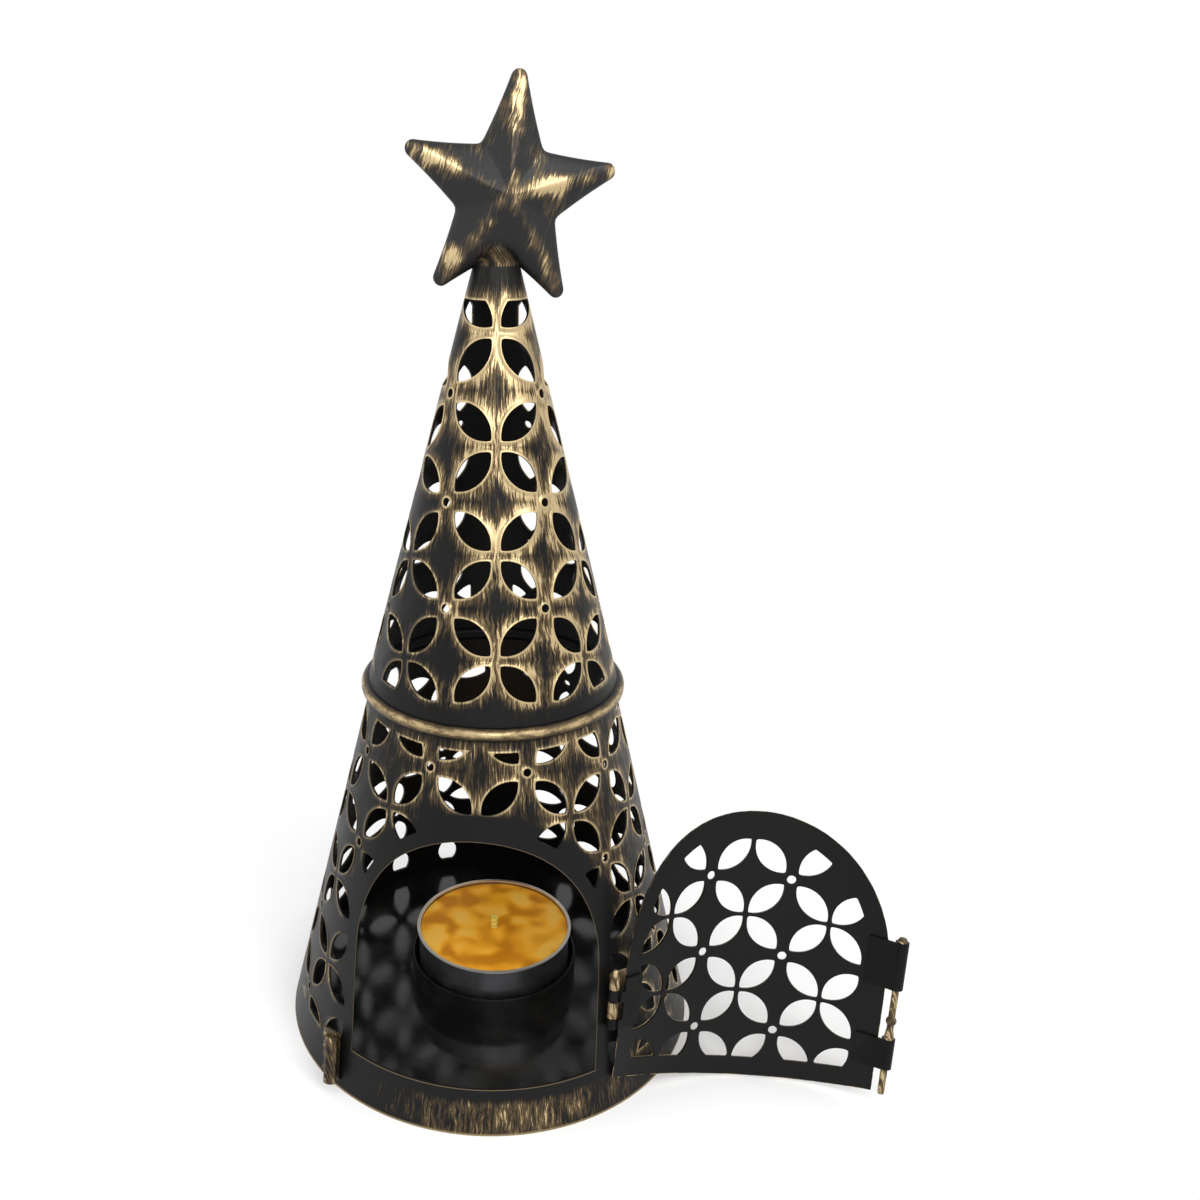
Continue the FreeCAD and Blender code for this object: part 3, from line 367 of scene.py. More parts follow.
class Tree:
    """Small helper that adds nodes to a shader tree and joins them."""

    def __init__(self, tree):
        self.nodes = tree.nodes
        self.links = tree.links

    def put(self, socket, value):
        """Feed a socket from another socket, or set it to a value."""
        if isinstance(value, bpy.types.NodeSocket):
            self.links.new(value, socket)
        else:
            socket.default_value = value

    def node(self, kind, inputs=None, **settings):
        """Add a node, with what feeds its inputs and with its own settings."""
        node = self.nodes.new(kind)
        for name, value in settings.items():
            setattr(node, name, value)
        for socket, value in (inputs or {}).items():
            self.put(node.inputs[socket], value)
        return node

    def math(self, operation, *values):
        """Work out one value from others."""
        return self.node("ShaderNodeMath", dict(enumerate(values)),
                         operation=operation).outputs[0]

    def chain(self, operation, values):
        """Join several values with one operation, from the first to the last."""
        result = values[0]
        for value in values[1:]:
            result = self.math(operation, result, value)
        return result

    def plus(self, *values):
        return self.chain("ADD", values)

    def minus(self, *values):
        return self.chain("SUBTRACT", values)

    def times(self, *values):
        return self.chain("MULTIPLY", values)

    def most(self, *values):
        return self.chain("MAXIMUM", values)

    def size(self, value):
        return self.math("ABSOLUTE", value)

    def hypot(self, first, second):
        """Length of a line from how far it goes in two square directions."""
        return self.math("SQRT", self.plus(self.times(first, first),
                                           self.times(second, second)))

    def ramp(self, value, low, high, out_low=0.0, out_high=1.0):
        """Smooth step of a value between two limits."""
        inputs = {"Value": value, "From Min": low, "From Max": high,
                  "To Min": out_low, "To Max": out_high}
        return self.node("ShaderNodeMapRange", inputs,
                         interpolation_type="SMOOTHSTEP").outputs["Result"]

    def mix(self, share, first, second):
        """Mix of two colours, whose sockets are the seventh and the eighth."""
        return self.node("ShaderNodeMix", {0: share, 6: first, 7: second},
                         data_type="RGBA").outputs[2]

    def combine(self, x, y, z):
        return self.node("ShaderNodeCombineXYZ", {"X": x, "Y": y, "Z": z}).outputs[0]

    def separate(self, vector):
        return self.node("ShaderNodeSeparateXYZ", {"Vector": vector}).outputs

    def noise(self, vector, scale, detail, roughness):
        """Soft noise between 0 and 1."""
        inputs = {"Vector": vector, "Scale": scale, "Detail": detail,
                  "Roughness": roughness}
        return self.node("ShaderNodeTexNoise", inputs).outputs["Fac"]

    def group(self, name, build, **values):
        """Place a shared effect, built the first time that it is asked for."""
        tree = bpy.data.node_groups.get(name) or build(name)
        inputs = {label.replace("_", " "): value for label, value in values.items()}
        return self.node("ShaderNodeGroup", inputs, node_tree=tree).outputs

    def relief(self, shader, height, strength, depth):
        """Raise the surface by a height, with the depth in millimetres."""
        inputs = {"Strength": strength, "Distance": depth * MM, "Height": height}
        self.put(shader["Normal"], self.node("ShaderNodeBump", inputs).outputs[0])


def new_group(name, inputs, outputs):
    """Shader group with named sockets; returns it, its helper, its inputs and outputs."""
    group = bpy.data.node_groups.new(name, "ShaderNodeTree")
    for label, kind, default in inputs:
        socket = group.interface.new_socket(label, in_out="INPUT", socket_type=kind)
        if default is not None:
            socket.default_value = default
    for label, kind in outputs:
        group.interface.new_socket(label, in_out="OUTPUT", socket_type=kind)
    tree = Tree(group)
    given = tree.node("NodeGroupInput").outputs
    out = tree.node("NodeGroupOutput").inputs
    return group, tree, given, out


# Shared effects

def rolled_place_group(name):
    """Where a point lies on a rolled sheet, in millimetres.

    Down and Across are square to each other on the sheet rolled out flat. Slant is the
    distance from the cone's tip, Bearing the angle from the front, Lift the height above
    the outer face, and Seam the distance from the seam at the back.
    """
    group, tree, given, out = new_group(
        name,
        [("Place", VECTOR, None), ("Tip", FLOAT, 0.0), ("Sine", FLOAT, 0.25),
         ("Cosine", FLOAT, 0.97), ("Turn", FLOAT, 0.0)],
        [("Down", FLOAT), ("Across", FLOAT), ("Lift", FLOAT), ("Slant", FLOAT),
         ("Bearing", FLOAT), ("Seam", FLOAT)])
    x, y, z = tree.separate(given["Place"])
    radius = tree.hypot(x, y)
    drop = tree.minus(given["Tip"], z)
    slant = tree.plus(tree.times(drop, given["Cosine"]), tree.times(radius, given["Sine"]))
    lift = tree.minus(tree.times(radius, given["Cosine"]), tree.times(drop, given["Sine"]))
    turn = tree.minus(tree.math("ARCTAN2", x, tree.times(y, -1.0)), given["Turn"])
    turn = tree.math("WRAP", turn, math.pi, -math.pi)
    bearing = tree.times(turn, given["Sine"])
    from_seam = tree.minus(tree.times(given["Sine"], math.pi), tree.size(bearing))
    tree.put(out["Down"], tree.times(slant, tree.math("COSINE", bearing)))
    tree.put(out["Across"], tree.times(slant, tree.math("SINE", bearing)))
    tree.put(out["Lift"], lift)
    tree.put(out["Slant"], slant)
    tree.put(out["Bearing"], bearing)
    tree.put(out["Seam"], tree.times(slant, tree.math("SINE", from_seam)))
    return group


def lattice_group(name):
    """Distance from the edge of the nearest punched hole, in millimetres."""
    group, tree, given, out = new_group(
        name,
        [("Down", FLOAT, 0.0), ("Across", FLOAT, 0.0), ("Pitch", FLOAT, 20.0),
         ("First Down", FLOAT, 0.0), ("Outside", FLOAT, -FAR_AWAY),
         ("Petal Middle", FLOAT, 6.6), ("Petal Width", FLOAT, 5.2), ("Arc", FLOAT, 6.4),
         ("Dot Radius", FLOAT, 0.85)],
        [("Distance", FLOAT)])

    def folded(value):
        """Distance from the nearest row or column of flowers."""
        turns = tree.math("ROUND", tree.math("DIVIDE", value, given["Pitch"]))
        return tree.size(tree.minus(value, tree.times(turns, given["Pitch"])))

    down = folded(tree.minus(given["Down"], given["First Down"]))
    across = folded(given["Across"])
    along = tree.times(tree.plus(down, across), math.sqrt(0.5))
    aside = tree.size(tree.times(tree.minus(down, across), math.sqrt(0.5)))
    arc_middle = tree.minus(given["Arc"], tree.times(given["Petal Width"], 0.5))
    petal = tree.minus(tree.hypot(tree.minus(along, given["Petal Middle"]),
                                  tree.plus(aside, arc_middle)), given["Arc"])
    half = tree.times(given["Pitch"], 0.5)
    dot = tree.minus(tree.hypot(tree.minus(half, down), tree.minus(half, across)),
                     given["Dot Radius"])
    near_edge = tree.plus(given["Outside"], given["Dot Radius"])
    no_dot = tree.times(tree.math("GREATER_THAN", near_edge, 0.0), FAR_AWAY)
    clipped = tree.most(petal, given["Outside"])
    tree.put(out["Distance"], tree.math("MINIMUM", clipped, tree.plus(dot, no_dot)))
    return group


def arch_group(name):
    """Distance outside an arched outline on the sheet, negative inside it."""
    group, tree, given, out = new_group(
        name,
        [("Down", FLOAT, 0.0), ("Across", FLOAT, 0.0), ("Arch Down", FLOAT, 0.0),
         ("Middle", FLOAT, 0.0), ("Half", FLOAT, 0.0)],
        [("Distance", FLOAT)])
    over = tree.math("MINIMUM", tree.minus(given["Down"], given["Arch Down"]), 0.0)
    reach = tree.hypot(over, tree.minus(given["Across"], given["Middle"]))
    tree.put(out["Distance"], tree.minus(reach, given["Half"]))
    return group


def dry_brush_group(name):
    """Gold dragged down the sheet by a nearly dry brush: a thick and a thin mask."""
    group, tree, given, out = new_group(
        name,
        [("Down", FLOAT, 0.0), ("Across", FLOAT, 0.0), ("Lift", FLOAT, 0.0),
         ("Amount", FLOAT, 0.5), ("Raised", FLOAT, 0.0)],
        [("Thick", FLOAT), ("Thin", FLOAT), ("Height", FLOAT)])

    def strokes(across, layer, lift=None):
        """One layer of strokes, whose slice grows with the lift if that is given."""
        fine_across, fine_down, depth, detail, roughness = layer
        if lift is not None:
            depth = tree.times(lift, depth)
        place = tree.combine(tree.times(across, fine_across),
                             tree.times(given["Down"], fine_down), depth)
        return tree.noise(place, 1.0, detail, roughness)

    wander = strokes(given["Across"], WANDER_LAYER)
    across = tree.plus(given["Across"], tree.times(wander, WANDER_WIDTH))
    fine = strokes(across, FINE_LAYER, given["Lift"])
    level = tree.plus(
        tree.times(fine, FINE_SHARE),
        tree.times(strokes(across, BROAD_LAYER), BROAD_SHARE),
        tree.times(strokes(given["Across"], PATCH_LAYER), PATCH_SHARE),
        tree.times(strokes(across, HAIR_LAYER), HAIR_SHARE),
        tree.times(given["Amount"], AMOUNT_SHARE),
        tree.times(given["Raised"], RAISED_SHARE))
    tree.put(out["Thick"], tree.ramp(level, THICK_FROM, THICK_TO))
    tree.put(out["Thin"], tree.ramp(level, THIN_FROM, THIN_TO))
    tree.put(out["Height"], tree.times(fine, STROKE_HEIGHT))
    return group


def gilt_group(name):
    """Black base coat with a thin and a thick layer of gold over it."""
    group, tree, given, out = new_group(
        name,
        [("Black", COLOUR, None), ("Brown", COLOUR, None), ("Gold", COLOUR, None),
         ("Thick", FLOAT, 0.0), ("Thin", FLOAT, 0.0)],
        [("Color", COLOUR), ("Metallic", FLOAT), ("Roughness", FLOAT)])
    thick, thin = given["Thick"], given["Thin"]
    under = tree.mix(thin, given["Black"], given["Brown"])
    tree.put(out["Color"], tree.mix(thick, under, given["Gold"]))
    tree.put(out["Metallic"], tree.most(tree.times(thin, THIN_METAL_SHARE),
                                        tree.times(thick, THICK_METAL_SHARE)))
    tree.put(out["Roughness"], tree.ramp(thick, 0.0, 1.0, BLACK_ROUGHNESS, GOLD_ROUGHNESS))
    return group


def satin_black_group(name):
    """Plain satin black with a faint uneven bloom and a slight ripple."""
    group, tree, given, out = new_group(
        name,
        [("Place", VECTOR, None), ("Black", COLOUR, None), ("Dust", FLOAT, 0.2),
         ("Rough", FLOAT, 0.3)],
        [("Color", COLOUR), ("Roughness", FLOAT), ("Height", FLOAT)])
    cloud = tree.noise(given["Place"], *CLOUD_NOISE)
    bloom = tree.times(tree.ramp(cloud, *BLOOM), given["Dust"])
    rougher = tree.plus(given["Rough"], BLOOM_ROUGHNESS)
    tree.put(out["Color"], tree.mix(bloom, given["Black"], BLOOM_COLOUR))
    tree.put(out["Roughness"], tree.ramp(cloud, *CLOUDS, given["Rough"], rougher))
    tree.put(out["Height"], tree.noise(given["Place"], *RIPPLE_NOISE))
    return group


# Materials

def new_material(name):
    """Material with a Principled shader; returns it, its tree and the shader's inputs."""
    material = bpy.data.materials.new(name)
    material.use_nodes = True
    tree = Tree(material.node_tree)
    tree.nodes.clear()
    shader = tree.node("ShaderNodeBsdfPrincipled")
    tree.node("ShaderNodeOutputMaterial", {"Surface": shader.outputs[0]})
    return material, tree, shader.inputs


def place_in_mm(tree):
    """The surface point in millimetres, in the lantern's own frame at rest."""
    place = tree.node("ShaderNodeTexCoord").outputs["Object"]
    return tree.node("ShaderNodeVectorMath", {0: place, "Scale": 1 / MM},
                     operation="SCALE").outputs[0]


def rgb(colour):
    """A setting's colour with full opacity."""
    return (*colour, 1.0)


def gilt_paint(tree, shader, thick, thin, height, strength, shine=GILT_SHINE):
    """Paint a shader black, with gold where the masks say and the strokes raised."""
    finish = bpy.context.scene.lantern_finish
    gilt = tree.group(
        "brushed gilt", gilt_group, Black=rgb(finish.black), Brown=rgb(finish.brown),
        Gold=rgb(finish.gold), Thick=thick, Thin=thin)
    tree.put(shader["Base Color"], gilt["Color"])
    tree.put(shader["Metallic"], gilt["Metallic"])
    tree.put(shader["Roughness"], gilt["Roughness"])
    shader["Specular IOR Level"].default_value = shine
    tree.relief(shader, height, strength, GILT_DEPTH)


def dry_brush(tree, **values):
    return tree.group("dry brush", dry_brush_group, **values)


def petal_inputs(petal):
    """Inputs of the lattice group for a petal's start, end, width and dot radius."""
    start, end, width, dot = petal
    half_length = (end - start) / 2
    arc = (half_length ** 2 + (width / 2) ** 2) / width
    return {"Petal_Middle": start + half_length, "Petal_Width": width, "Arc": arc,
            "Dot_Radius": dot}


def punched_sheet(name, cone, place, pitch, petal, first_down, outside, plain, edges,
                  amount, rims, turn=0.0, outer=FACE_START):
    """Brushed finish of one punched sheet.

    `outside`, `plain` and `edges` take the tree and the place on the rolled sheet. The
    first gives the distance beyond the punched region, the second the share of the
    face that the brush missed, and the third the share of gilt on cut edges. `amount`
    gives how much the brush left at a place to the right and a slant down the sheet;
    on the cones it also grows towards the right, partly as painted highlight on the side
    that the key lamp lights. `rims` is how much of it the rims took. Above the lift
    `outer` the face is the outer one.
    """
    material, tree, shader = new_material(name)
    point = place(tree)
    sheet = tree.group("place on rolled sheet", rolled_place_group, Place=point,
                       Tip=cone.tip, Sine=cone.sine, Cosine=cone.cosine,
                       Turn=math.radians(turn))
    distance = tree.group(
        "distance from punched holes", lattice_group, Down=sheet["Down"],
        Across=sheet["Across"], Pitch=pitch, First_Down=first_down,
        Outside=outside(tree, sheet), **petal_inputs(petal))["Distance"]
    near_hole = tree.ramp(distance, RIM_START, RIM_REACH, rims, RIM_LOSS)
    uncut = tree.ramp(distance, UNCUT_FROM, UNCUT_TO, 1.0, 0.0)
    brush = dry_brush(
        tree, Down=sheet["Slant"], Across=tree.times(sheet["Bearing"], cone.middle),
        Lift=sheet["Lift"], Amount=amount(tree, tree.separate(point)[0], sheet["Slant"]),
        Raised=tree.minus(near_hole, tree.times(uncut, rims - RIM_LOSS)))
    outer_face = tree.ramp(sheet["Lift"], outer, outer + FACE_BLEND)
    kept = tree.times(outer_face, tree.minus(1.0, plain(tree, sheet)))
    crest = tree.ramp(distance, CREST_START, CREST_END, CREST_GOLD_SHARE, 0.0)
    crest = tree.times(crest, kept, tree.minus(1.0, uncut))
    worn = tree.ramp(brush["Thin"], WORN_FROM, WORN_TO, WORN_SHARE, 1.0)
    thick = tree.most(tree.times(brush["Thick"], kept), tree.times(crest, worn),
                      edges(tree, sheet))
    thin = tree.most(tree.times(brush["Thin"], kept), thick,
                     tree.times(crest, CREST_BROWN_SHARE))
    lip = tree.times(tree.ramp(distance, CREST_START, LIP_END, LIP_HEIGHT, 0.0), kept)
    height = tree.plus(lip, tree.times(brush["Height"], STROKE_RELIEF_SHARE))
    gilt_paint(tree, shader, thick, thin, height, SHEET_RELIEF)
    return material


def band(tree, value, low, high):
    """Distance of a value beyond a span, negative inside it."""
    return tree.most(tree.minus(low, value), tree.minus(value, high))


def beside_seam(tree, sheet):
    """Distance into the plain band beside the seam at the back."""
    return tree.minus(SEAM_MARGIN, sheet["Seam"])


def nothing(tree, sheet):
    """For a sheet where the brush missed nothing or that has no gilt edges."""
    return 0.0


def lower_cone_paint():
    """Paint of the lower cone, with the plain black band round its doorway."""
    def arch(tree, sheet, half):
        return tree.group(
            "distance from arch", arch_group, Down=sheet["Down"], Across=sheet["Across"],
            Arch_Down=ARCH_DOWN, Middle=0.0, Half=half)["Distance"]

    def outside(tree, sheet):
        span = band(tree, sheet["Slant"], lower.slant(LOWER_TOP) + HEAD_MARGIN,
                    lower.slant(0) - BASE_MARGIN)
        doorway = arch(tree, sheet, DOORWAY_HALF + DOORWAY_MARGIN)
        return tree.most(span, beside_seam(tree, sheet), tree.times(doorway, -1.0))

    def plain(tree, sheet):
        near = tree.ramp(arch(tree, sheet, DOORWAY_HALF), *DOORWAY_PLAIN)
        above_foot = tree.ramp(sheet["Slant"], SILL_DOWN + SILL_PLAIN,
                               SILL_DOWN + SILL_BAND, 1.0, 0.0)
        return tree.times(near, above_foot)

    def edges(tree, sheet):
        doorway = tree.most(arch(tree, sheet, DOORWAY_HALF),
                            tree.minus(sheet["Slant"], SILL_DOWN))
        near = tree.ramp(doorway, *DOORWAY_GILT)
        foot = tree.ramp(sheet["Slant"], lower.slant(BASE_GILT_FROM),
                         lower.slant(BASE_GILT_TO), 0.0, BASE_GILT_SHARE)
        outer = tree.ramp(sheet["Lift"], FACE_START, FACE_START + EDGE_BLEND)
        return tree.times(tree.most(near, foot), outer)

    def amount(tree, right, slant):
        finish = bpy.context.scene.lantern_finish
        # More gold towards the right: partly brushing, partly painted highlight on the side that
        # the key lamp lights
        aside = tree.ramp(right, *LOWER_RIGHT_GILT_AND_HIGHLIGHT)
        top = tree.ramp(slant, *LOWER_DOWN)
        foot = tree.ramp(slant, SILL_DOWN + SILL_GOLD, SILL_DOWN + SILL_BAND, 0.0,
                         SILL_GOLD_SHARE)
        front = tree.ramp(tree.size(tree.minus(right, SILL_MIDDLE)), *SILL_ASIDE)
        return tree.plus(aside, top, tree.times(foot, front),
                         finish.brushing + LOWER_BRUSHING)

    first = lower.slant(JOINT_HEIGHT) - LOWER_FIRST_ROW
    return punched_sheet("brushed tin lower cone", lower, place_in_mm, LOWER_PITCH,
                         CONE_PETAL, first, outside, plain, edges, amount, LOWER_RIMS)


def upper_cone_paint():
    """Paint of the upper cone, with a plain band above the ring."""
    def outside(tree, sheet):
        span = band(tree, sheet["Slant"], upper.slant(MOUTH_HEIGHT) + MOUTH_MARGIN,
                    upper.slant(JOINT_HEIGHT) - UPPER_FOOT_MARGIN)
        return tree.most(span, beside_seam(tree, sheet))

    def plain(tree, sheet):
        return tree.ramp(sheet["Slant"], upper.slant(UPPER_PLAIN_FROM),
                         upper.slant(UPPER_PLAIN_TO), 0.0, UPPER_PLAIN_SHARE)

    def amount(tree, right, slant):
        finish = bpy.context.scene.lantern_finish
        # More gold towards the right: partly brushing, partly painted highlight on the side that
        # the key lamp lights
        aside = tree.ramp(right, *UPPER_RIGHT_GILT_AND_HIGHLIGHT)
        top = tree.ramp(slant, *UPPER_DOWN)
        neck = tree.ramp(slant, *UPPER_NECK)
        return tree.plus(aside, top, neck, finish.brushing + UPPER_BRUSHING)

    first = upper.slant(MOUTH_HEIGHT) + UPPER_FIRST_ROW
    return punched_sheet("brushed tin upper cone", upper, place_in_mm, UPPER_PITCH,
                         CONE_PETAL, first, outside, plain, nothing, amount, UPPER_RIMS,
                         turn=UPPER_TURN)


def shut_door_place(tree):
    """The surface point of a door piece in millimetres, where it is when shut."""
    inputs = {"Vector": place_in_mm(tree), "Center": Vector(door_joint["pos_m"]) / MM,
              "Axis": Vector(door_joint["axis"]),
              "Angle": math.radians(door_joint["range_deg"][0])}
    return tree.node("ShaderNodeVectorRotate", inputs,
                     rotation_type="AXIS_ANGLE").outputs[0]


def door_paint():
    """Paint of the door: brushed outside, plain black inside, gilt on its rim."""
    def arch(tree, sheet, margin):
        arched = tree.group(
            "distance from arch", arch_group, Down=sheet["Down"], Across=sheet["Across"],
            Arch_Down=DOOR_ARCH_DOWN, Middle=DOOR_MIDDLE, Half=DOOR_HALF - margin)["Distance"]
        return tree.most(arched, tree.minus(sheet["Slant"], DOOR_FOOT - margin))

    def outside(tree, sheet):
        return arch(tree, sheet, DOOR_MARGIN)

    def edges(tree, sheet):
        near = tree.ramp(arch(tree, sheet, 0.0), *DOOR_RIM_GILT)
        worn = tree.ramp(tree.noise(place_in_mm(tree), *WEAR_NOISE), *DOOR_RIM_WEAR)
        return tree.times(near, worn)

    def amount(tree, right, slant):
        return bpy.context.scene.lantern_finish.brushing + DOOR_BRUSHING

    first = DOOR_ARCH_DOWN - DOOR_FIRST_ROW
    return punched_sheet(
        "brushed tin door", lower, shut_door_place, DOOR_PITCH, DOOR_PETAL, first,
        outside, nothing, edges, amount, DOOR_RIMS,
        outer=DOOR_GAP + GAUGE * DOOR_FACE_SHARE)


def plain_gilt(name, amount):
    """Black tin with a little gold rubbed on, for the small fittings."""
    material, tree, shader = new_material(name)
    place = place_in_mm(tree)
    x, y, z = tree.separate(place)
    brush = dry_brush(tree, Down=z, Across=tree.plus(x, y), Lift=y, Amount=amount,
                      Raised=0.0)
    uneven = tree.noise(place, *FITTING_NOISE)
    gilt_paint(tree, shader, brush["Thick"], brush["Thin"], uneven, FITTING_RELIEF)
    return material


def ring_paint():
    """Ring wire: gilt along the crest, brown below and satin black above."""
    material, tree, shader = new_material("brushed ring wire")
    place = place_in_mm(tree)
    x, y, z = tree.separate(place)
    out = tree.math("DIVIDE", tree.minus(tree.hypot(x, y), RING_RADIUS), WIRE_RADIUS)
    up = tree.math("DIVIDE", tree.minus(z, JOINT_HEIGHT), WIRE_RADIUS)
    round_it = tree.times(tree.math("ARCTAN2", x, y), RING_RADIUS)
    crest = tree.minus(tree.plus(tree.times(out, CREST_OUT), tree.times(up, CREST_UP)),
                       CREST_LEVEL)
    along_wire = tree.combine(tree.times(round_it, BREAK_ROUND), tree.times(up, BREAK_UP),
                              BREAK_SLICE)
    broken = tree.noise(along_wire, *BREAK_NOISE)
    level = tree.plus(tree.times(crest, CREST_GAIN), broken)
    gilt_paint(tree, shader, tree.ramp(level, *RING_GOLD), tree.ramp(level, *RING_BROWN),
               tree.noise(place, *RING_NOISE), RING_RELIEF)
    return material


def star_paint():
    """Star: gilt dragged aslant over its ridges and the ends of its arms."""
    material, tree, shader = new_material("brushed tin star")
    centred = tree.node(
        "ShaderNodeVectorMath", {0: place_in_mm(tree), 1: (STAR_SHIFT, 0, STAR_HEIGHT)},
        operation="SUBTRACT").outputs[0]
    faced = tree.node(
        "ShaderNodeVectorRotate", {"Vector": centred, "Angle": -math.radians(STAR_TURN)},
        rotation_type="Z_AXIS").outputs[0]
    x, y, z = tree.separate(faced)
    reach = tree.hypot(x, z)
    turn = tree.minus(tree.math("ARCTAN2", x, z), math.radians(STAR_ROLL))
    arm = 2 * math.pi / ARMS
    nearest_arm = tree.times(tree.math("ROUND", tree.math("DIVIDE", turn, arm)), arm)
    from_arm = tree.math("SINE", tree.minus(turn, nearest_arm))
    ridge = tree.ramp(tree.size(tree.times(reach, from_arm)), *STAR_RIDGE)
    tips = tree.ramp(reach, *STAR_TIPS)
    hollow = tree.ramp(reach, *STAR_HOLLOW)
    blotch = tree.ramp(tree.noise(faced, *STAR_NOISE), *STAR_BLOTCH)
    skewed = tree.plus(tree.times(x, STAR_ALONG), tree.times(z, -STAR_ASLANT))
    dragged = tree.plus(tree.times(x, STAR_ASLANT), tree.times(z, STAR_ALONG))
    brush = dry_brush(tree, Down=dragged, Across=skewed, Lift=y, Amount=STAR_BRUSHING,
                      Raised=tree.plus(ridge, tips, hollow, blotch))
    gilt_paint(tree, shader, brush["Thick"], brush["Thin"], brush["Height"], STAR_RELIEF,
               STAR_SHINE)
    return material


def black_paint(name, rough, dust, ripple, shine):
    """Plain satin black, with a faint uneven bloom."""
    material, tree, shader = new_material(name)
    finish = bpy.context.scene.lantern_finish
    satin = tree.group("satin black", satin_black_group, Place=place_in_mm(tree),
                       Black=rgb(finish.black), Dust=dust, Rough=rough)
    tree.put(shader["Base Color"], satin["Color"])
    tree.put(shader["Roughness"], satin["Roughness"])
    shader["Specular IOR Level"].default_value = shine
    tree.relief(shader, satin["Height"], ripple, BLACK_DEPTH)
    return material


def cup_metal():
    """Thin pressed aluminium, dull and painted dark grey as painted shade, with a pale lip round
    its mouth as painted highlight.
    """
    material, tree, shader = new_material("pressed aluminium cup")
    place = place_in_mm(tree)
    cloud = tree.noise(place, *CUP_NOISE)
    top = top_of("tealight_cup")
    # Painted highlight: the lip round the mouth is pale
    lip = tree.ramp(tree.separate(place)[2], top - LIP_DEPTH, top - LIP_DEPTH / 2)
    # Painted shade: the aluminium is dark grey, with paler patches at random
    painted_shade = tree.mix(tree.ramp(cloud, *CLOUDS), CUP_PAINTED_SHADE, CUP_PAINTED_SHADE_PALER)
    shader["Metallic"].default_value = 1.0
    tree.put(shader["Base Color"], tree.mix(lip, painted_shade, CUP_LIP_HIGHLIGHT))
    tree.put(shader["Roughness"], tree.ramp(cloud, *CLOUDS, *CUP_ROUGHNESS))
    return material


def wax_material():
    """Amber wax, marbled with light swirls over a darker orange brown, with pale glints on the
    brightest swirls as painted highlight.
    """
    material, tree, shader = new_material("amber marbled wax")
    finish = bpy.context.scene.lantern_finish
    place = place_in_mm(tree)
    warp = tree.node("ShaderNodeTexNoise",
                     {"Vector": place, "Scale": WARP_SCALE, "Detail": WARP_DETAIL})
    moved = tree.node("ShaderNodeVectorMath",
                      {0: warp.outputs["Color"], 1: WAX_WARP, 2: place},
                      operation="MULTIPLY_ADD").outputs[0]
    swirl = tree.noise(moved, *SWIRL_NOISE)
    colour = tree.mix(tree.ramp(swirl, *WAX_LIGHT), rgb(finish.wax_dark), rgb(finish.wax))
    # Painted highlight: pale glints on the brightest swirls
    painted_highlight = tree.ramp(swirl, *WAX_HIGHLIGHT_RAMP)
    tree.put(shader["Base Color"], tree.mix(painted_highlight, colour, WAX_HIGHLIGHT_COLOUR))
    shader["Roughness"].default_value = WAX_ROUGHNESS
    shader["Specular IOR Level"].default_value = WAX_SHINE
    shader["Subsurface Weight"].default_value = WAX_SCATTER_SHARE
    shader["Subsurface Radius"].default_value = WAX_SCATTER
    tree.relief(shader, swirl, WAX_RELIEF, WAX_DEPTH)
    return material


def wick_material():
    """Waxed cotton wick with a braided rib."""
    material, tree, shader = new_material("waxed cotton wick")
    x, y, z = tree.separate(place_in_mm(tree))
    twist = tree.plus(tree.times(z, TWIST_UP),
                      tree.times(tree.math("ARCTAN2", x, y), TWIST_ROUND))
    rib = tree.ramp(tree.math("SINE", twist), *WICK_RIB)
    tree.put(shader["Base Color"], tree.mix(rib, WICK_DARK, WICK_LIGHT))
    shader["Roughness"].default_value = WICK_ROUGHNESS
    tree.relief(shader, rib, WICK_RELIEF, WICK_DEPTH)
    return material


# Meshes

def arm_outline():
    """One arm of the star's outline, from the valley on its left to just before the next."""
    half_turn = math.pi / ARMS
    valley = Vector((-math.sin(half_turn), math.cos(half_turn))) * STAR_VALLEY
    corner = Vector((-STAR_ARM_END, STAR_TIP - STAR_ARM_END))
    side = corner - valley
    inward = Vector((side.y, -side.x)).normalized()
    left = []
    for step in range(SIDE_STEPS):
        share = step / SIDE_STEPS
        bend = inward * (STAR_WAIST * math.sin(math.pi * share))
        left.append(valley + side * share + bend)
    tip = []
    for step in range(TIP_STEPS + 1):
        angle = math.pi * (1 - step / TIP_STEPS)
        tip.append(Vector((math.cos(angle) * STAR_ARM_END,
                           STAR_TIP - STAR_ARM_END + math.sin(angle) * STAR_ARM_END)))
    right = [Vector((-point.x, point.y)) for point in reversed(left[1:])]
    return left + tip + right


def star_levels():
    """Share of the outline and height of each ring of a half star, from its seam up."""
    levels = [(1.0, STAR_SEAM_GAP), (1.0, STAR_EDGE / 2), (STAR_LIP_SHARE, STAR_EDGE)]
    swell = (STAR_DEPTH - STAR_EDGE) * STAR_RING_SHARE
    for ring in range(1, STAR_RINGS):
        rise = ring / STAR_RINGS
        levels.append((1 - rise, STAR_EDGE + swell * rise ** STAR_SWELL))
    return levels


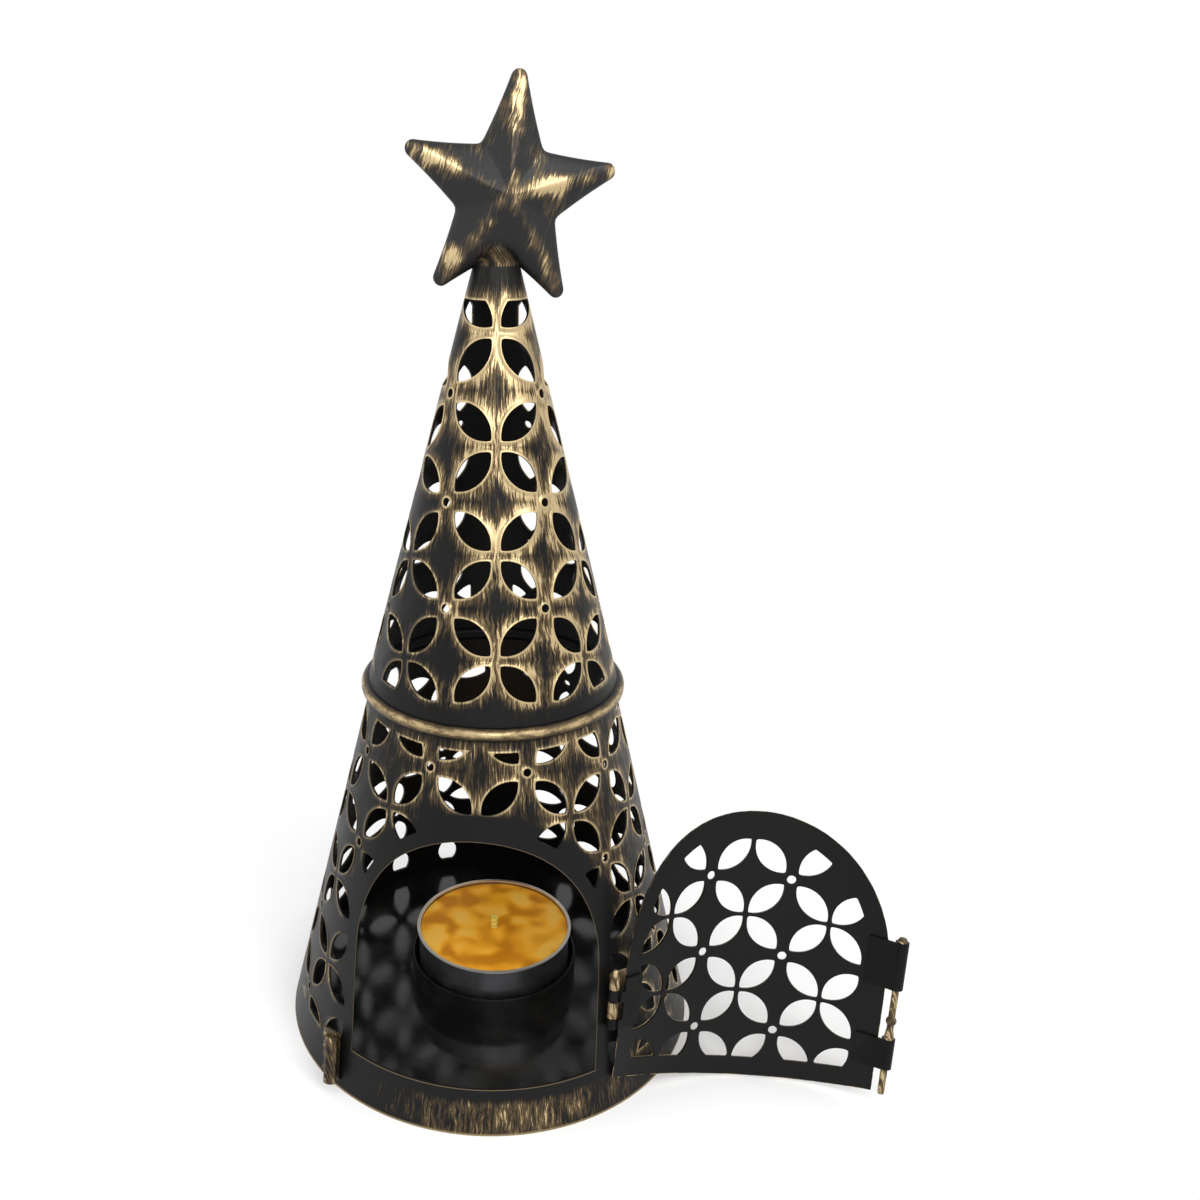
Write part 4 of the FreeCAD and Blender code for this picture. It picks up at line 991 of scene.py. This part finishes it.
def star_mesh(name, side):
    """Pressed half star with soft ridges, in front (1) or behind (-1) of its seam."""
    outline = []
    for arm in range(ARMS):
        turn = Matrix.Rotation(-2 * math.pi * arm / ARMS, 2)
        outline += [turn @ point for point in arm_outline()]
    shape = bmesh.new()
    loops = []
    for share, height in star_levels():
        loops.append([shape.verts.new((point.x * share, point.y * share, side * height))
                      for point in outline])
    peak = shape.verts.new((0, 0, side * STAR_DEPTH * STAR_PEAK_SHARE))
    steps = [(index, (index + 1) % len(outline)) for index in range(len(outline))]
    for low, high in zip(loops, loops[1:]):
        for index, after in steps:
            shape.faces.new((low[index], low[after], high[after], high[index]))
    for index, after in steps:
        shape.faces.new((loops[-1][index], loops[-1][after], peak))
    shape.faces.new(loops[0])
    bmesh.ops.recalc_face_normals(shape, faces=shape.faces)
    shape.transform(Matrix.Scale(MM, 4)
                    @ Matrix.Translation(Vector((STAR_SHIFT, 0, STAR_HEIGHT)))
                    @ Matrix.Rotation(math.radians(STAR_TURN), 4, "Z")
                    @ Matrix.Rotation(math.radians(90), 4, "X")
                    @ Matrix.Rotation(-math.radians(STAR_ROLL), 4, "Z"))
    mesh = bpy.data.meshes.new(name)
    shape.to_mesh(mesh)
    shape.free()
    for face in mesh.polygons:
        face.use_smooth = True
    return mesh


def top_of(node):
    """Height in millimetres of a carried-over solid's highest corner."""
    return max(corner.co.z for corner in frame["nodes"][node].data.vertices) / MM


def finish_node(node, material):
    """Give a carried-over solid its one material."""
    mesh = frame["nodes"][node].data
    mesh.materials.clear()
    mesh.materials.append(material)
    for face in mesh.polygons:
        face.material_index = 0


def place_piece(name, mesh_data, body, material, replaces):
    """Put a new piece in the scene on its body, standing for the nodes it replaces."""
    piece = bpy.data.objects.new(name, mesh_data)
    bpy.context.scene.collection.objects.link(piece)
    mesh_data.materials.append(material)
    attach(piece, body)
    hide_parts(*replaces)
    return piece


# Operators, one for each group of pieces

class LANTERN_OT_cones(bpy.types.Operator):
    """Finish the two punched cones and the ring between them"""

    bl_idname = "lantern.cones"
    bl_label = "Cones and ring"

    def execute(self, context):
        finish_node("lower_cone", lower_cone_paint())
        finish_node("upper_cone", upper_cone_paint())
        finish_node("joint_ring", ring_paint())
        return {"FINISHED"}


class LANTERN_OT_star(bpy.types.Operator):
    """Finish the star and the plug that carries it"""

    bl_idname = "lantern.star"
    bl_label = "Star and plug"

    def execute(self, context):
        paint = star_paint()
        for node, side in (("star_front", 1), ("star_back", -1)):
            name = node + "_pressed"
            piece = place_piece(name, star_mesh(name, side), "frame", paint,
                                (node,))
            smooth = piece.modifiers.new("soft ridges", "SUBSURF")
            smooth.levels = 1
            smooth.render_levels = 1
        finish_node("top_plug", plain_gilt("soldered plug", 0.45))
        return {"FINISHED"}


class LANTERN_OT_floor(bpy.types.Operator):
    """Finish the floor and the ring that holds the candle"""

    bl_idname = "lantern.floor"
    bl_label = "Floor and candle ring"

    def execute(self, context):
        finish_node("floor_pan", black_paint(
            "satin black floor", rough=0.09, dust=0.2, ripple=0.03, shine=0.5))
        finish_node("candle_ring", black_paint(
            "satin black ring", rough=0.3, dust=0.2, ripple=0.04, shine=0.2))
        return {"FINISHED"}


class LANTERN_OT_door(bpy.types.Operator):
    """Finish the door, its hinge, its bolt and the catch"""

    bl_idname = "lantern.door"
    bl_label = "Door and fittings"

    def execute(self, context):
        finish_node("door_panel", door_paint())
        dark = black_paint("black fittings", rough=0.4, dust=0.1, ripple=0.12, shine=0.1)
        for node in ("door_hinge_leaf", "upper_sleeve", "lower_sleeve"):
            finish_node(node, dark)
        finish_node("body_hinge_leaf", plain_gilt("gilt hinge", 1.1))
        finish_node("hinge_pin", plain_gilt("gilt pin", 2.0))
        finish_node("latch_rod", plain_gilt("brown gilt bolt", 0.9))
        finish_node("latch_catch", plain_gilt("gilt catch", 0.75))
        return {"FINISHED"}


class LANTERN_OT_candle(bpy.types.Operator):
    """Finish the tealight"""

    bl_idname = "lantern.candle"
    bl_label = "Tealight"

    def execute(self, context):
        metal = cup_metal()
        finish_node("tealight_cup", metal)
        finish_node("tealight_wax", wax_material())
        finish_node("tealight_wick", wick_material())
        finish_node("wick_tab", metal)
        return {"FINISHED"}


# Stage

def look_from(item, place, target, roll=0.0):
    """Aim a camera or lamp from a place in millimetres, rolled about its line of sight."""
    place = Vector(place)
    ahead = (Vector(target) - place).normalized()
    right = ahead.cross(Vector((0, 0, 1))).normalized()
    up = right.cross(ahead)
    tilted_right = right * math.cos(roll) + up * math.sin(roll)
    tilted_up = up * math.cos(roll) - right * math.sin(roll)
    turn = Matrix((tilted_right, tilted_up, -ahead)).transposed().to_4x4()
    item.matrix_world = Matrix.Translation(place * MM) @ turn


def add_to_stage(name, data):
    """New object of the stage, in the scene."""
    item = bpy.data.objects.new(name, data)
    bpy.context.scene.collection.objects.link(item)
    return item


def add_camera():
    """Camera that sees the lantern as the picture does."""
    data = bpy.data.cameras.new("camera")
    data.sensor_width = SENSOR_WIDTH
    data.lens = LENS_PIXELS / PICTURE_SIDE * SENSOR_WIDTH
    data.shift_x = (PICTURE_SIDE / 2 - AIM_PIXEL[0]) / PICTURE_SIDE
    data.shift_y = (AIM_PIXEL[1] - PICTURE_SIDE / 2) / PICTURE_SIDE
    data.clip_start = NEAREST_SEEN * MM
    camera = add_to_stage("camera", data)
    look_from(camera, CAMERA_PLACE, CAMERA_AIM, CAMERA_ROLL)
    bpy.context.scene.camera = camera


def add_lamp(name, power):
    """Soft rectangular lamp aimed at the lantern."""
    place, width, height = LAMPS[name]
    data = bpy.data.lights.new(name + " lamp", "AREA")
    data.shape = "RECTANGLE"
    data.size = width * MM
    data.size_y = height * MM
    data.energy = power
    look_from(add_to_stage(name + " lamp", data), place, LAMP_AIM)


def seen_rays(tree):
    """Mask of the rays that show a thing to the camera, in a mirror or through glass."""
    path = tree.node("ShaderNodeLightPath").outputs
    return tree.most(path["Is Camera Ray"], path["Is Glossy Ray"],
                     path["Is Transmission Ray"])


def mix_shaders(tree, share, first, second):
    mixed = tree.node("ShaderNodeMixShader", {0: share})
    tree.links.new(first, mixed.inputs[1])
    tree.links.new(second, mixed.inputs[2])
    return mixed.outputs[0]


def add_world(sky):
    """Even light from all round, which is seen as plain white."""
    world = bpy.data.worlds.new("studio")
    bpy.context.scene.world = world
    world.use_nodes = True
    tree = Tree(world.node_tree)
    tree.nodes.clear()
    light = tree.node("ShaderNodeBackground", {"Color": WHITE, "Strength": sky})
    white = tree.node("ShaderNodeBackground", {"Color": WHITE, "Strength": 1.0})
    surface = mix_shaders(tree, seen_rays(tree), light.outputs[0], white.outputs[0])
    tree.links.new(surface, tree.node("ShaderNodeOutputWorld").inputs["Surface"])


def floor_material(colour):
    """Pale floor that runs into the white background away from the lantern."""
    material, tree, shader = new_material("pale floor")
    tree.put(shader["Base Color"], rgb(colour))
    shader["Roughness"].default_value = FLOOR_ROUGHNESS
    shader["Specular IOR Level"].default_value = 0.0
    x, y = tree.separate(place_in_mm(tree))[:2]
    far = tree.ramp(tree.hypot(x, y), FLOOR_SHADOW, FLOOR_SHADOW * 2)
    white = tree.node("ShaderNodeEmission", {"Color": WHITE, "Strength": 1.0})
    surface = tree.nodes["Material Output"].inputs["Surface"]
    lit = surface.links[0].from_socket
    tree.links.new(mix_shaders(tree, tree.times(far, seen_rays(tree)), lit,
                               white.outputs[0]), surface)
    return material


def add_floor(colour):
    """Wide floor under the lantern."""
    mesh = bpy.data.meshes.new("floor")
    shape = bmesh.new()
    bmesh.ops.create_grid(shape, x_segments=1, y_segments=1, size=FLOOR_HALF * MM)
    shape.to_mesh(mesh)
    shape.free()
    mesh.materials.append(floor_material(colour))
    ground = add_to_stage("floor", mesh)


class LANTERN_OT_stage(bpy.types.Operator):
    """Set up the camera, the light and the floor"""

    bl_idname = "lantern.stage"
    bl_label = "Camera, light and floor"

    def execute(self, context):
        settings = context.scene.lantern_stage
        add_camera()
        add_world(settings.sky)
        add_floor(settings.floor)
        add_lamp("key", settings.key)
        add_lamp("fill", settings.fill)
        add_lamp("front", settings.front)
        context.scene.view_settings.view_transform = "Standard"
        return {"FINISHED"}


class LANTERN_PT_panel(bpy.types.Panel):
    """Lantern pieces and finishes"""

    bl_label = "Punched Tin Lantern"
    bl_idname = "LANTERN_PT_panel"
    bl_space_type = "VIEW_3D"
    bl_region_type = "UI"
    bl_category = "Lantern"

    def draw(self, context):
        column = self.layout.column()
        for operator in OPERATORS:
            column.operator(operator.bl_idname)
        for settings in (context.scene.lantern_finish, context.scene.lantern_stage):
            for name in settings.bl_rna.properties.keys():
                if name not in ("rna_type", "name"):
                    column.prop(settings, name)


OPERATORS = (
    LANTERN_OT_cones, LANTERN_OT_star, LANTERN_OT_floor, LANTERN_OT_door,
    LANTERN_OT_candle, LANTERN_OT_stage,
)
CLASSES = (LanternFinish, LanternStage) + OPERATORS + (LANTERN_PT_panel,)


def register():
    for item in CLASSES:
        bpy.utils.register_class(item)
    bpy.types.Scene.lantern_finish = PointerProperty(type=LanternFinish)
    bpy.types.Scene.lantern_stage = PointerProperty(type=LanternStage)


def unregister():
    del bpy.types.Scene.lantern_stage
    del bpy.types.Scene.lantern_finish
    for item in reversed(CLASSES):
        bpy.utils.unregister_class(item)


def main():
    """Build the dressed lantern."""
    register()
    bpy.ops.lantern.stage()
    bpy.ops.lantern.cones()
    bpy.ops.lantern.star()
    bpy.ops.lantern.floor()
    bpy.ops.lantern.door()
    bpy.ops.lantern.candle()


if __name__ == "__main__":
    main()
